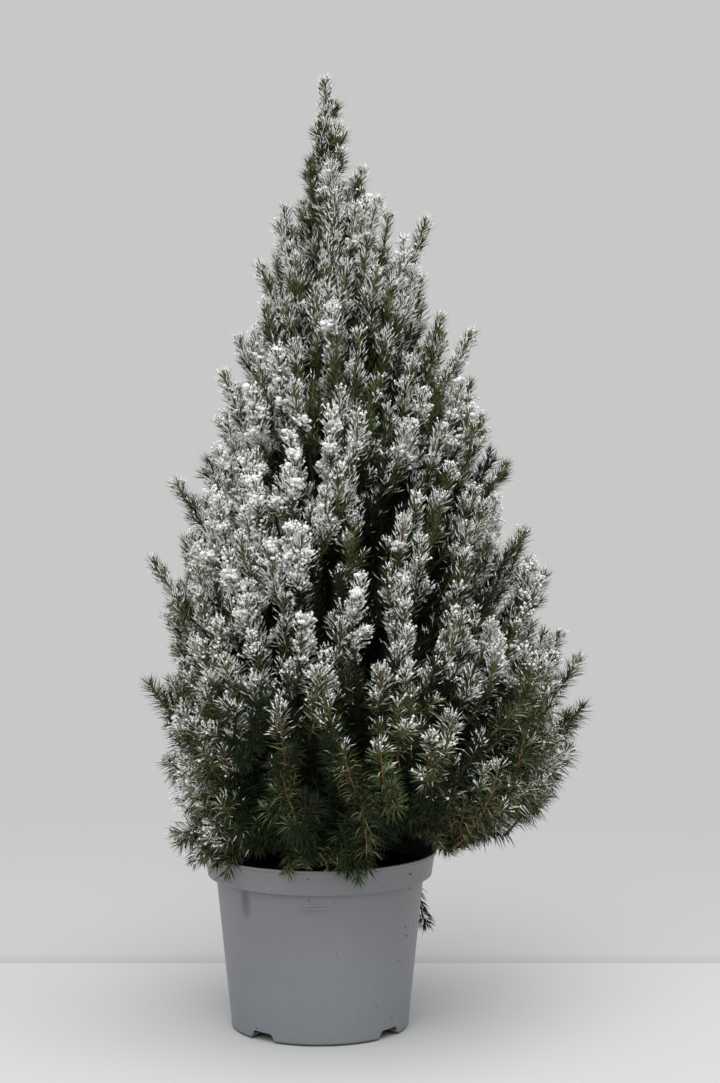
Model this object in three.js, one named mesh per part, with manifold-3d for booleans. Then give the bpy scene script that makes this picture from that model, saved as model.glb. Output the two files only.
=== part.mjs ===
// Potted dwarf Alberta spruce, dusted with snow, in its round nursery pot.
// Millimetres, +Z up. The origin is the centre of the pot's underside.
// The crown is seen along +Y with +X to the right.

import * as THREE from 'three';
import { mergeVertices } from 'three/addons/utils/BufferGeometryUtils.js';
import Module from 'manifold-3d';

const wasm = await Module();
wasm.setup();
const { Manifold, Mesh } = wasm;

// Clearance between pieces that touch, and between neighbouring foliage masses
const GAP = 0.3;
const SPACE_MARGIN = 1;

// The round pot: a tapered wall, a flared rim band and a raised floor between its feet
const POT = {
  height: 176,
  footRadius: 87,
  shoulderRadius: 102,
  bandBottom: 151,
  bandLipRadius: 110,
  rimRadius: 115,
  rimLip: 2.4,
  wall: 1.6,
  floorRise: 4,
  centreFootRadius: 30,
  footRingInner: 77,
  step: 2,
  sides: 44,
};

// Drain notches in the foot of the wall
const NOTCH = {
  count: 4,
  height: 9.5,
  baseWidth: 33,
  topWidth: 21,
  firstAngle: -39,
  depth: 16,
  outside: 4,
};

const COMPOST = { edgeZ: 158, middleZ: 161, middleRadius: 26, cornerRise: 5, sides: 32 };

// The trunk: its middle line up to the tip, its radius along that line, and its flat cut at the soil
const TRUNK = {
  line: [[4, 0, 154], [7, 2, 260], [11, -2, 420], [13, 2, 590], [9, -1, 740], [6, 0, 838]],
  cutZ: COMPOST.middleZ + GAP,
  flareRadius: 16,
  flareLength: 26,
  footRadius: 10.5,
  tipRadius: 1.6,
  sides: 10,
  rows: 20,
};

const BOUGH = { rootRadius: 3.8, tipRadius: 2.1, sides: 5, rows: 3, stagger: 8, sag: 0.12 };

// The crown's outline: its half width by height, round an axis that lies beside the trunk
const CROWN = {
  axisX: 8,
  top: 928,
  widestZ: 330,
  halfWidth: 220,
  fallHeight: 600,
  fallPower: 1.3,
  tuckHeight: 150,
  tuckShare: 0.2,
  tuckPower: 1.5,
  sideReach: 28,
  sideReachEnd: 850,
  sideReachFade: 150,
};

// Foliage stays above the pot inside this radius, and above the hanging limit outside it
const UNDERSIDE = { z: 179, overPotRadius: 118, hangingZ: 70 };

// Each tier of foliage lies under a cone z = coneFoot + coneSlope * radius and over the one below.
// A tier is shared evenly round the trunk by its masses.
const TIERS = [
  { masses: 7, shoots: 5, coneFoot: 170, coneSlope: 0.75, turn: 0.25, boughFrom: 167, hubRadius: 68 },
  { masses: 6, shoots: 4, coneFoot: 262, coneSlope: 1.0, turn: -0.25, boughFrom: 226, hubRadius: 58 },
  { masses: 6, shoots: 4, coneFoot: 350, coneSlope: 1.35, turn: 0.25, boughFrom: 315, hubRadius: 50 },
  { masses: 5, shoots: 4, coneFoot: 455, coneSlope: 1.7, turn: -0.25, boughFrom: 398, hubRadius: 40 },
  { masses: 4, shoots: 3, coneFoot: 605, coneSlope: 2.4, turn: 0.25, boughFrom: 496, hubRadius: 24 },
  { masses: 3, shoots: 3, coneFoot: 680, coneSlope: 3.0, turn: -0.25, boughFrom: 618, hubRadius: 14 },
];
const BOUGH_TIERS = 4;
const HUB_HEIGHT_SHARE = 0.45;

// Leading shoots that make the outline on both sides of the view: tip x and z
const LEADING_TIPS = [
  [-40, 792], [-59, 750], [-80, 679], [-94, 645], [-112, 563], [-143, 540], [-165, 465],
  [-151, 409], [-171, 344], [-152, 268], [-147, 190],
  [58, 812], [105, 793], [120, 701], [150, 684], [160, 592], [185, 558], [205, 490], [223, 451],
  [238, 392], [256, 367], [261, 321], [248, 278], [225, 234], [194, 190],
];
const LEADING_DEPTH = 24;

// Where a mass's own tips lie in its space, beside any leading ones
const OWN_TIPS = { fewest: 2, angleShare: 0.78, lowest: 0.2, highest: 0.84 };

// A sprig that droops past the rim behind the pot: the points of its curve
const DROOPING_SPRIG = [[128, 76, 208], [122, 72, 150], [104, 62, 97]];

// One needled shoot: a slim four-sided core with a tooth of needles on every other face
const SHOOT = {
  sides: 4,
  rows: 4,
  length: 100,
  standOut: 58,
  deepest: 0.4,
  fanning: 0.6,
  gathering: 0.55,
  rootRadius: 6,
  bodyRadius: 11,
  tipRadius: 2,
  firstToothRow: 2,
  toothOut: 7,
  toothAlong: 10,
  shortening: 0.1,
  sag: 0.1,
};

// The lumpy core inside each mass: faces along, across and up, and its shares of the mass's own space
const CORE = { along: 2, across: 3, up: 2, angleShare: 0.93, heightShare: 0.88, lumps: 0.1 };
const STEM = { radius: 2.6, sides: 5, rows: 1, intoCore: 26 };

// The leader round the trunk's tip and the shoots that stand round it: angle, radius, height, length
const LEADER = {
  sleeveBottom: 722,
  sleeveTop: 872,
  sleeveRadius: 11,
  sleeveSides: 6,
  sleeveRows: 4,
  tipX: 6,
  topLength: 76,
  topWidth: 0.9,
  besideWidth: 0.75,
  rootShare: 0.3,
  bulge: 3,
};
const LEADER_SHOOTS = [
  [0, 35, 843, 90],
  [200, 23, 853, 84],
  [75, 26, 838, 84],
  [280, 24, 846, 84],
  [335, 18, 888, 74],
  [170, 13, 866, 70],
  [140, 30, 812, 70],
];

const COLOURS = {
  pot: 0x9a9ca3,
  compost: 0x2b211b,
  bark: 0x6b5138,
  greenFoliage: 0x3c4a34,
  frostedFoliage: 0x8d958d,
};

const TAU = Math.PI * 2;
const radians = THREE.MathUtils.degToRad;
const mix = THREE.MathUtils.lerp;
const vector = (x, y, z) => new THREE.Vector3(x, y, z);

// A repeatable number from 0 to 1 for each seed
function chance(seed) {
  const wave = Math.sin(seed * 12.9898 + 78.233) * 43758.5453;
  return wave - Math.floor(wave);
}

// A closed geometry as a solid: shared vertices are merged and flat triangles dropped
function solidOf(geometry) {
  const bare = geometry.clone();
  bare.deleteAttribute('normal');
  bare.deleteAttribute('uv');
  const merged = mergeVertices(bare, 1e-4);
  const triVerts = [];
  for (let i = 0; i < merged.index.count; i += 3) {
    const [a, b, c] = [0, 1, 2].map((k) => merged.index.getX(i + k));
    if (a !== b && b !== c && c !== a) triVerts.push(a, b, c);
  }
  const vertProperties = merged.getAttribute('position').array;
  return new Manifold(new Mesh({ numProp: 3, vertProperties, triVerts: new Uint32Array(triVerts) }));
}

// A solid's triangles as a geometry with flat faces
function geometryOf(solid) {
  const { vertProperties, triVerts } = solid.getMesh();
  const geometry = new THREE.BufferGeometry();
  geometry.setAttribute('position', new THREE.BufferAttribute(vertProperties, 3));
  geometry.setIndex(new THREE.BufferAttribute(triVerts, 1));
  const flat = geometry.toNonIndexed();
  flat.computeVertexNormals();
  return flat;
}

// The largest closed body of a solid: scraps are dropped, and hollows sealed by joining are filled
function largestBody(solid) {
  const smallestEdge = 0.05;
  const bodies = solid.simplify(smallestEdge).decompose();
  return bodies.reduce((best, body) => (body.volume() > best.volume() ? body : best));
}

// Foliage joined into one solid, with the slivers along its seams smoothed away
function joined(solids) {
  const sliver = 1;
  return Manifold.union(solids).simplify(sliver);
}

function revolve(profile, sides) {
  const points = profile.map(([radius, z]) => new THREE.Vector2(radius, z));
  return solidOf(new THREE.LatheGeometry(points, sides).rotateX(Math.PI / 2));
}

// A closed tube of a changing radius along a curve. toothAt may give the apex of a tooth
// on the face that starts at a row and side.
function tube(curve, radiusAt, sides, rows, toothAt = () => null) {
  const { normals, binormals } = curve.computeFrenetFrames(rows);
  const corner = (row, side) => {
    const angle = (TAU * (side + 0.5)) / sides;
    const across = normals[row].clone().multiplyScalar(Math.cos(angle));
    across.addScaledVector(binormals[row], Math.sin(angle));
    return curve.getPointAt(row / rows).addScaledVector(across, radiusAt(row / rows));
  };
  const positions = [];
  const triangle = (...points) => points.forEach((p) => positions.push(p.x, p.y, p.z));
  const start = curve.getPointAt(0);
  const end = curve.getPointAt(1);
  for (let side = 0; side < sides; side++) {
    triangle(start, corner(0, side + 1), corner(0, side));
    triangle(end, corner(rows, side), corner(rows, side + 1));
    for (let row = 0; row < rows; row++) {
      const near = [corner(row, side), corner(row, side + 1)];
      const far = [corner(row + 1, side + 1), corner(row + 1, side)];
      const face = [...near, ...far];
      const apex = toothAt(row, side, face);
      if (apex) {
        face.forEach((point, k) => triangle(point, face[(k + 1) % 4], apex));
      } else {
        triangle(face[0], face[1], face[2]);
        triangle(face[0], face[2], face[3]);
      }
    }
  }
  const geometry = new THREE.BufferGeometry();
  geometry.setAttribute('position', new THREE.Float32BufferAttribute(positions, 3));
  return geometry;
}

function bent(from, bend, to) {
  return new THREE.QuadraticBezierCurve3(from, bend, to);
}

// Crown outline

function halfWidth(z) {
  if (z >= CROWN.widestZ) {
    return CROWN.halfWidth * (1 - ((z - CROWN.widestZ) / CROWN.fallHeight) ** CROWN.fallPower);
  }
  const tuck = ((CROWN.widestZ - z) / CROWN.tuckHeight) ** CROWN.tuckPower;
  return CROWN.halfWidth * (1 - CROWN.tuckShare * tuck);
}

// How far the crown reaches from its axis in one direction at one height
function reach(angle, z) {
  const fade = THREE.MathUtils.clamp((CROWN.sideReachEnd - z) / CROWN.sideReachFade, 0, 1);
  return halfWidth(z) + CROWN.sideReach * fade * Math.cos(angle);
}

// A point from its angle, its radius from the crown's axis and its height
function around(angle, radius, z) {
  return vector(CROWN.axisX + radius * Math.cos(angle), radius * Math.sin(angle), z);
}

// Spaces of the foliage masses

function coneAt(tier, radius) {
  return TIERS[tier].coneFoot + TIERS[tier].coneSlope * radius;
}

// The height at a share of a tier's thickness, 0 on its lower cone and 1 on its upper one
function heightIn(tier, radius, share) {
  const low = tier === 0 ? UNDERSIDE.z : coneAt(tier - 1, radius);
  return mix(low, coneAt(tier, radius), share);
}

function shareIn(tier, radius, z) {
  const low = heightIn(tier, radius, 0);
  return (z - low) / (heightIn(tier, radius, 1) - low);
}

function sectorOf(tier) {
  return TAU / TIERS[tier].masses;
}

function middleAngle(tier, index) {
  return sectorOf(tier) * (index + TIERS[tier].turn);
}

function angleBetween(a, b) {
  return Math.atan2(Math.sin(a - b), Math.cos(a - b));
}

// How far a length laid along a tier's upper cone runs outwards
function levelRun(tier, length) {
  return length / Math.hypot(1, TIERS[tier].coneSlope);
}

// Whether a point keeps to a mass's own space, between its two cones and its two radial planes
function inSpace(mass, point) {
  const x = point.x - CROWN.axisX;
  const radius = Math.hypot(x, point.y);
  const { tier } = mass;
  if (tier === 0) {
    const overPot = Math.hypot(point.x, point.y) < UNDERSIDE.overPotRadius;
    const low = overPot ? UNDERSIDE.z : UNDERSIDE.hangingZ;
    if (point.z < low) return false;
  } else {
    const slant = Math.hypot(1, TIERS[tier - 1].coneSlope);
    if ((point.z - coneAt(tier - 1, radius)) / slant < SPACE_MARGIN) return false;
  }
  if (tier < TIERS.length) {
    const slant = Math.hypot(1, TIERS[tier].coneSlope);
    if ((coneAt(tier, radius) - point.z) / slant < SPACE_MARGIN) return false;
    const off = angleBetween(Math.atan2(point.y, x), mass.angle);
    const beside = radius * Math.sin(sectorOf(tier) / 2 - Math.abs(off));
    if (beside < SPACE_MARGIN) return false;
  }
  return true;
}

// Where a line at one angle and one share of a tier's thickness meets the crown's outline
function outlineRadius(tier, angle, share) {
  let inner = 0;
  let outer = 2 * CROWN.halfWidth;
  for (let step = 0; step < 24; step++) {
    const radius = (inner + outer) / 2;
    if (reach(angle, heightIn(tier, radius, share)) > radius) inner = radius;
    else outer = radius;
  }
  return inner;
}

// Pot and compost

// The outer radius of the pot's tapered wall at one height
function wallRadius(z) {
  return mix(POT.footRadius, POT.shoulderRadius, z / POT.bandBottom);
}

function potSolid() {
  const inner = (radius) => radius - POT.wall;
  const underBand = POT.bandBottom + POT.step;
  const overFloor = POT.floorRise + POT.wall + POT.step;
  const profile = [
    [0, 0],
    [POT.centreFootRadius, 0],
    [POT.centreFootRadius + POT.step, POT.floorRise],
    [POT.footRingInner, POT.floorRise],
    [POT.footRingInner + POT.step, 0],
    [POT.footRadius - POT.step / 2, 0],
    [wallRadius(POT.step / 2), POT.step / 2],
    [wallRadius(underBand), underBand],
    [POT.bandLipRadius - POT.step / 2, POT.bandBottom],
    [POT.bandLipRadius, underBand],
    [POT.rimRadius - POT.rimLip, POT.height - 4 * POT.rimLip],
    [POT.rimRadius, POT.height - POT.step],
    [POT.rimRadius - POT.step / 2, POT.height],
    [POT.rimRadius - POT.rimLip, POT.height],
    [inner(POT.rimRadius - 2 * POT.rimLip), POT.height - 4 * POT.rimLip],
    [inner(POT.bandLipRadius), POT.bandBottom + 3 * POT.step],
    [inner(wallRadius(POT.bandBottom)), POT.bandBottom],
    [inner(wallRadius(overFloor)), overFloor],
    [POT.footRingInner + POT.step, POT.floorRise + POT.wall],
    [0, POT.floorRise + POT.wall],
  ];
  return revolve(profile, POT.sides);
}

function notchSolid(index) {
  const below = -1;
  const outline = new THREE.Shape([
    new THREE.Vector2(-NOTCH.baseWidth / 2, below),
    new THREE.Vector2(NOTCH.baseWidth / 2, below),
    new THREE.Vector2(NOTCH.topWidth / 2, NOTCH.height),
    new THREE.Vector2(-NOTCH.topWidth / 2, NOTCH.height),
  ]);
  const geometry = new THREE.ExtrudeGeometry(outline, { depth: NOTCH.depth, bevelEnabled: false });
  geometry.rotateX(Math.PI / 2);
  geometry.translate(0, POT.footRadius + NOTCH.outside, 0);
  geometry.rotateZ(radians(NOTCH.firstAngle + 180 + (360 / NOTCH.count) * index));
  return solidOf(geometry);
}

function compostSolid() {
  const bottom = POT.floorRise + POT.wall + GAP;
  const corner = bottom + COMPOST.cornerRise;
  const inside = (z) => wallRadius(z) - POT.wall - 2 * GAP;
  return revolve(
    [
      [0, bottom],
      [POT.footRingInner, bottom],
      [inside(corner), corner],
      [inside(POT.bandBottom), POT.bandBottom],
      [inside(POT.bandBottom), COMPOST.edgeZ],
      [COMPOST.middleRadius, COMPOST.middleZ],
      [0, COMPOST.middleZ],
    ],
    COMPOST.sides,
  );
}

// Trunk and boughs

const trunkCurve = new THREE.CatmullRomCurve3(TRUNK.line.map(([x, y, z]) => vector(x, y, z)));
const trunkLength = trunkCurve.getLength();

function trunkRadius(share) {
  const taper = mix(TRUNK.footRadius, TRUNK.tipRadius, share ** 0.85);
  const flare = Math.max(0, 1 - (share * trunkLength) / TRUNK.flareLength);
  return taper + (TRUNK.flareRadius - TRUNK.footRadius) * flare ** 2;
}

// The trunk's middle at one height, found along its curve
function trunkAt(z) {
  let low = 0;
  let high = 1;
  for (let step = 0; step < 20; step++) {
    const share = (low + high) / 2;
    if (trunkCurve.getPointAt(share).z < z) low = share;
    else high = share;
  }
  return trunkCurve.getPointAt(low);
}

function trunkSolid(grown = 0) {
  const whole = solidOf(tube(trunkCurve, (share) => trunkRadius(share) + grown, TRUNK.sides, TRUNK.rows));
  return whole.trimByPlane([0, 0, 1], TRUNK.cutZ);
}

// A limb's faces lie inside its radius, so a clearance is widened to keep the gap at each face
function clearanceRadius(sides) {
  return GAP / Math.cos(Math.PI / sides);
}

// A short plug that carries a limb's clearance past its flat tip
function tipClearance(curve, radius, sides) {
  const tip = curve.getPointAt(1);
  const along = curve.getTangentAt(1);
  const inside = tip.clone().addScaledVector(along, -1);
  const past = tip.clone().addScaledVector(along, GAP);
  return solidOf(tube(new THREE.LineCurve3(inside, past), () => radius, sides, 1));
}

function trunkClearance() {
  const grown = clearanceRadius(TRUNK.sides);
  return trunkSolid(grown).add(tipClearance(trunkCurve, TRUNK.tipRadius + grown, TRUNK.sides));
}

// Where a mass's foliage begins: the tip of its bough
function hubOf(mass) {
  const { hubRadius } = TIERS[mass.tier];
  return around(mass.angle, hubRadius, heightIn(mass.tier, hubRadius, HUB_HEIGHT_SHARE));
}

function boughCurve(mass) {
  const stagger = (mass.index % 2) * BOUGH.stagger;
  const from = trunkAt(TIERS[mass.tier].boughFrom + stagger);
  const to = hubOf(mass);
  const bend = from.clone().lerp(to, 0.5);
  bend.z -= BOUGH.sag * from.distanceTo(to);
  return bent(from, bend, to);
}

function boughSolid(mass, grown = 0) {
  const radiusAt = (share) => mix(BOUGH.rootRadius, BOUGH.tipRadius, share) + grown;
  return solidOf(tube(boughCurve(mass), radiusAt, BOUGH.sides, BOUGH.rows));
}

function boughClearance(mass) {
  const grown = clearanceRadius(BOUGH.sides);
  return boughSolid(mass, grown).add(tipClearance(boughCurve(mass), BOUGH.tipRadius + grown, BOUGH.sides));
}

// Foliage

// The core is a block with uneven corners that fills the middle of a mass's space
function coreSolid(mass) {
  const { tier, angle, seed } = mass;
  const block = new THREE.BoxGeometry(1, 1, 1, CORE.along, CORE.across, CORE.up);
  block.deleteAttribute('normal');
  block.deleteAttribute('uv');
  const lump = mergeVertices(block);
  const position = lump.getAttribute('position');
  for (let i = 0; i < position.count; i++) {
    const size = 1 - CORE.lumps * chance(seed + 40 + i);
    const share = 0.5 + CORE.heightShare * size * position.getZ(i);
    const turn = angle + sectorOf(tier) * CORE.angleShare * size * position.getY(i);
    const outer = outlineRadius(tier, turn, share) - levelRun(tier, SHOOT.standOut);
    const radius = mix(TIERS[tier].hubRadius + GAP, outer * size, 0.5 + position.getX(i));
    const point = around(turn, radius, heightIn(tier, radius, share));
    position.setXYZ(i, point.x, point.y, point.z);
  }
  return solidOf(lump);
}

// The stem starts clear of the bough's tip, or in the trunk where a mass has no bough
function stemSolid(mass) {
  const curve = boughCurve(mass);
  const tip = curve.getPoint(1);
  const along = curve.getTangent(1);
  const from = mass.tier < BOUGH_TIERS ? tip.clone().addScaledVector(along, GAP) : curve.getPoint(0);
  const to = tip.clone().addScaledVector(along, STEM.intoCore);
  return solidOf(tube(new THREE.LineCurve3(from, to), () => STEM.radius, STEM.sides, STEM.rows));
}

// One needled shoot along a curve. It is left out if its core would leave the mass's space.
function shootSolid(mass, curve, width = 1) {
  const { sides, rows, rootRadius, bodyRadius, tipRadius, firstToothRow, toothOut, toothAlong } = SHOOT;
  const radiusAt = (share) => {
    const swell = Math.sin(Math.PI * mix(0.25, 1, share));
    return width * Math.max(tipRadius, mix(rootRadius * (1 - share), bodyRadius, swell));
  };
  const core = tube(curve, radiusAt, sides, rows);
  const corners = core.getAttribute('position');
  for (let i = 0; i < corners.count; i++) {
    if (!inSpace(mass, vector(corners.getX(i), corners.getY(i), corners.getZ(i)))) return null;
  }
  const toothAt = (row, side, face) => {
    if (row < firstToothRow || (row + side) % 2) return null;
    const share = (row + 0.5) / rows;
    const middle = curve.getPointAt(share);
    const centre = face[0].clone().add(face[1]).add(face[2]).add(face[3]).divideScalar(4);
    const out = centre.clone().sub(middle);
    const along = curve.getTangentAt(share);
    out.addScaledVector(along, -out.dot(along)).normalize();
    const apex = centre.addScaledVector(out, toothOut * width).addScaledVector(along, toothAlong * width);
    return inSpace(mass, apex) ? apex : null;
  };
  return solidOf(tube(curve, radiusAt, sides, rows, toothAt));
}

// A shoot runs from inside the core to its tip, first outwards and then upwards
function shootTo(mass, tip) {
  const { tier, angle } = mass;
  const x = tip.x - CROWN.axisX;
  const tipRadius = Math.hypot(x, tip.y);
  const turn = angle + SHOOT.fanning * angleBetween(Math.atan2(tip.y, x), angle);
  const tipShare = THREE.MathUtils.clamp(shareIn(tier, tipRadius, tip.z), 0, 1);
  const share = mix(tipShare, 0.5, SHOOT.gathering);
  const outer = Math.min(tipRadius, outlineRadius(tier, turn, share));
  const radius = Math.max(outer - levelRun(tier, SHOOT.length), SHOOT.deepest * outer);
  const root = around(turn, radius, heightIn(tier, radius, share));
  const bend = root.clone().lerp(tip, 0.5);
  bend.z -= SHOOT.sag * root.distanceTo(tip);
  return shootSolid(mass, bent(root, bend, tip));
}

// The tips that a mass's own shoots aim at, spread evenly over its part of the outline
function ownTips(mass, count) {
  const { tier, angle, seed } = mass;
  const golden = 0.618034;
  return Array.from({ length: count }, (_, k) => {
    const across = (k * golden + chance(seed)) % 1;
    const turn = angle + sectorOf(tier) * OWN_TIPS.angleShare * (across - 0.5);
    const share = mix(OWN_TIPS.lowest, OWN_TIPS.highest, (k + 0.5) / count);
    const radius = outlineRadius(tier, turn, share) * (1 - SHOOT.shortening * chance(seed + 3 * k + 1));
    return around(turn, radius, heightIn(tier, radius, share));
  });
}

function leadingTips(mass) {
  return LEADING_TIPS.map(([x, z], k) => vector(x, LEADING_DEPTH * (chance(900 + k) - 0.5), z))
    .filter((tip) => inSpace(mass, tip));
}

function droopingSprig(mass) {
  const points = DROOPING_SPRIG.map(([x, y, z]) => vector(x, y, z));
  const slim = 0.6;
  return inSpace(mass, points[2]) ? [shootSolid(mass, bent(...points), slim)] : [];
}

function massSolid(mass, limbs) {
  const leading = leadingTips(mass);
  const own = ownTips(mass, Math.max(OWN_TIPS.fewest, TIERS[mass.tier].shoots - leading.length));
  const shoots = [...own, ...leading].map((tip) => shootTo(mass, tip));
  const made = [...shoots, ...droopingSprig(mass)].filter((shoot) => shoot !== null);
  return largestBody(joined([coreSolid(mass), stemSolid(mass), ...made]).subtract(limbs));
}

// The leader: a sleeve of needles round the trunk's tip, its top shoot and the shoots beside it
function leaderSolid(limbs) {
  const { sleeveBottom, sleeveTop, sleeveRadius, sleeveSides, sleeveRows, tipX } = LEADER;
  const mass = { tier: TIERS.length };
  const sleeveLine = new THREE.LineCurve3(trunkAt(sleeveBottom), vector(tipX, 0, sleeveTop));
  const radiusAt = (share) => sleeveRadius * Math.sin(Math.PI * mix(0.2, 0.9, share));
  const sleeve = solidOf(tube(sleeveLine, radiusAt, sleeveSides, sleeveRows));
  const top = vector(tipX, 0, CROWN.top);
  const belowTop = vector(tipX, 0, CROWN.top - LEADER.topLength);
  const leading = shootSolid(mass, new THREE.LineCurve3(belowTop, top), LEADER.topWidth);
  const beside = LEADER_SHOOTS.map(([degrees, radius, z, length]) => {
    const angle = radians(degrees);
    const away = vector(Math.cos(angle), Math.sin(angle), 0);
    const tip = around(angle, radius, z);
    const root = trunkAt(z - length).addScaledVector(away, LEADER.rootShare * radius);
    const bend = root.clone().lerp(tip, 0.5).addScaledVector(away, LEADER.bulge);
    return shootSolid(mass, bent(root, bend, tip), LEADER.besideWidth);
  });
  const made = [leading, ...beside].filter((shoot) => shoot !== null);
  return largestBody(joined([sleeve, ...made]).subtract(limbs));
}

// Scene

function material(color, roughness) {
  return new THREE.MeshStandardMaterial({ color, roughness, metalness: 0 });
}

function addMesh(group, name, solid, look) {
  const mesh = new THREE.Mesh(geometryOf(solid), look);
  mesh.name = name;
  group.add(mesh);
}

function massesOf(tier) {
  return Array.from({ length: TIERS[tier].masses }, (_, index) => ({
    tier,
    index,
    angle: middleAngle(tier, index),
    seed: 100 * (tier + 1) + 10 * index,
  }));
}

const tree = new THREE.Group();

function addPot() {
  const notches = Array.from({ length: NOTCH.count }, (_, index) => notchSolid(index));
  const pot = potSolid().subtract(Manifold.union(notches));
  addMesh(tree, 'pot', largestBody(pot), material(COLOURS.pot, 0.55));
  addMesh(tree, 'compost', compostSolid(), material(COLOURS.compost, 0.95));
}

function addTree() {
  const masses = TIERS.flatMap((_, tier) => massesOf(tier));
  const onBoughs = masses.filter((mass) => mass.tier < BOUGH_TIERS);
  const aroundTrunk = trunkClearance();
  const aroundLimbs = Manifold.union([aroundTrunk, ...onBoughs.map(boughClearance)]);

  addMesh(tree, 'trunk', trunkSolid(), material(COLOURS.bark, 0.85));
  for (const mass of onBoughs) {
    const bough = largestBody(boughSolid(mass).subtract(aroundTrunk));
    addMesh(tree, `bough_${mass.tier + 1}_${mass.index + 1}`, bough, material(COLOURS.bark, 0.85));
  }
  for (const mass of masses) {
    const colour = mass.tier === 0 ? COLOURS.greenFoliage : COLOURS.frostedFoliage;
    const name = `foliage_${mass.tier + 1}_${mass.index + 1}`;
    addMesh(tree, name, massSolid(mass, aroundLimbs), material(colour, 0.9));
  }
  addMesh(tree, 'leader', leaderSolid(aroundTrunk), material(COLOURS.frostedFoliage, 0.9));
}

addPot();
addTree();

export default tree;
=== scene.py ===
"""A potted dwarf Alberta spruce, dusted with snow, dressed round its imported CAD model.

Shapes are worked out in millimetres, +Z up, with the origin under the middle of the pot. A mesh takes
them in metres. The crown grows by the rule of the CAD source, written again here and carried on to
side shoots, twigs, needles and snow.
"""

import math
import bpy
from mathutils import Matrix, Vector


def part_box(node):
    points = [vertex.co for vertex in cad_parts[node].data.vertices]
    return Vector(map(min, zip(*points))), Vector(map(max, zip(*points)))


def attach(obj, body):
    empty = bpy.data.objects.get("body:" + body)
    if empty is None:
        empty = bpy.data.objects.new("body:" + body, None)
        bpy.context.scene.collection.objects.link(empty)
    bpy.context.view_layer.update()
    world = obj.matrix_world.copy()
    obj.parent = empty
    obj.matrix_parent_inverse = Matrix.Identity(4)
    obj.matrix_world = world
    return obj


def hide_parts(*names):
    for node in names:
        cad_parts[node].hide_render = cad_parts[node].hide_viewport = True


bl_info = {
    "name": "Potted Dwarf Spruce",
    "version": (1, 0, 0),
    "blender": (4, 5, 0),
    "location": "3D View > Sidebar > Spruce",
    "description": "Builds a dwarf Alberta spruce, dusted with snow, in its nursery pot",
    "category": "Add Mesh",
}

from functools import lru_cache
from types import SimpleNamespace

import bpy
import numpy as np

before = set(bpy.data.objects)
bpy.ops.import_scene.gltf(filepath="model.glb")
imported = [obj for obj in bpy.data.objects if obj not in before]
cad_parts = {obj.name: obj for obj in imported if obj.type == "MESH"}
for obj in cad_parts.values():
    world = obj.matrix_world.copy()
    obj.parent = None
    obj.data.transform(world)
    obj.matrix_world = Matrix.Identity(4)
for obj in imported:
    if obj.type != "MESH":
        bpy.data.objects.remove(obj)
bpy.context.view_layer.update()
POT_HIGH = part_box("pot")[1]

MM = 0.001
TAU = 2 * math.pi
GOLDEN_TURN = math.pi * (3 - math.sqrt(5))
# The fraction of the golden ratio, to the digits that the CAD source has
GOLDEN_SHARE = 0.618034
# The most faces that one piece of needles may have
MOST_FACES = 190000

# Pot

POT = SimpleNamespace(
    height=POT_HIGH.z / MM,
    rim_radius=115,
    foot_radius=87,
    shoulder_radius=102,
    band_bottom=151,
    lip_radius=110,
    rim_lip=2.4,
    wall=1.6,
    floor_rise=4,
    centre_foot=30,
    foot_ring=77,
    step=2,
    columns=176,
    mould_line=-27,
    mould_width=0.5,
    mould_height=0.35,
    sharp_angle=42,
)
NOTCH = SimpleNamespace(count=4, height=9.5, base_width=33, top_width=21, first=-39, depth=16, outside=4)
# Crumbs of compost that cling to the front of the rim and wall: across and up
SPECKS = (
    (-10, 168), (-44, 154), (-9, 145), (16, 143), (62, 156), (88, 164), (87, 146), (90, 145), (83, 108),
    (84, 99), (76, 76), (79, 71), (70, 20), (-60, 12),
)
# The compost's height at its edge and in the middle, its roughness, its rings and columns of corners, and
# how many crumbs lie on it
COMPOST = SimpleNamespace(edge=158, middle=161, rough=3.2, rings=70, columns=150, crumbs=900)

# Wood

TRUNK = SimpleNamespace(
    line=((4, 0, 154), (7, 2, 260), (11, -2, 420), (13, 2, 590), (9, -1, 740), (6, 0, 838)),
    foot=161,
    flare_radius=16,
    flare_length=26,
    foot_radius=10.5,
    tip_radius=1.6,
    taper_power=0.85,
    sides=36,
    rows=300,
    relief=0.75,
    buttress=0.14,
    buttresses=5,
)
BOUGH = SimpleNamespace(
    root_radius=3.8,
    tip_radius=2.1,
    stagger=8,
    sag=0.12,
    sides=14,
    rows=40,
    relief=0.35,
)
# How many tiers, from the lowest up, grow on boughs
BOUGH_TIERS = 4

# The crown's outline: its half width by height, round an axis that lies beside the trunk

CROWN = SimpleNamespace(
    axis=8,
    top=928,
    widest=330,
    half_width=220,
    fall_height=600,
    fall_power=1.3,
    tuck_height=150,
    tuck_share=0.2,
    tuck_power=1.5,
    side_reach=28,
    side_end=850,
    side_fade=150,
    underside=179,
)


def tier(masses, cone_foot, cone_slope, turn, bough_from, hub_radius):
    """One tier of masses, under the cone z = cone_foot + cone_slope * radius."""
    return SimpleNamespace(
        masses=masses,
        cone_foot=cone_foot,
        cone_slope=cone_slope,
        turn=turn,
        bough_from=bough_from,
        hub_radius=hub_radius,
    )


TIERS = (
    tier(7, 170, 0.75, 0.25, 167, 68),
    tier(6, 262, 1.0, -0.25, 226, 58),
    tier(6, 350, 1.35, 0.25, 315, 50),
    tier(5, 455, 1.7, -0.25, 398, 40),
    tier(4, 605, 2.4, 0.25, 496, 24),
    tier(3, 680, 3.0, -0.25, 618, 14),
)
# Where a mass's hub lies between the two cones of its tier
HUB_SHARE = 0.45
# How often a span of radius is halved to find the outline
HALVINGS = 24
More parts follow.
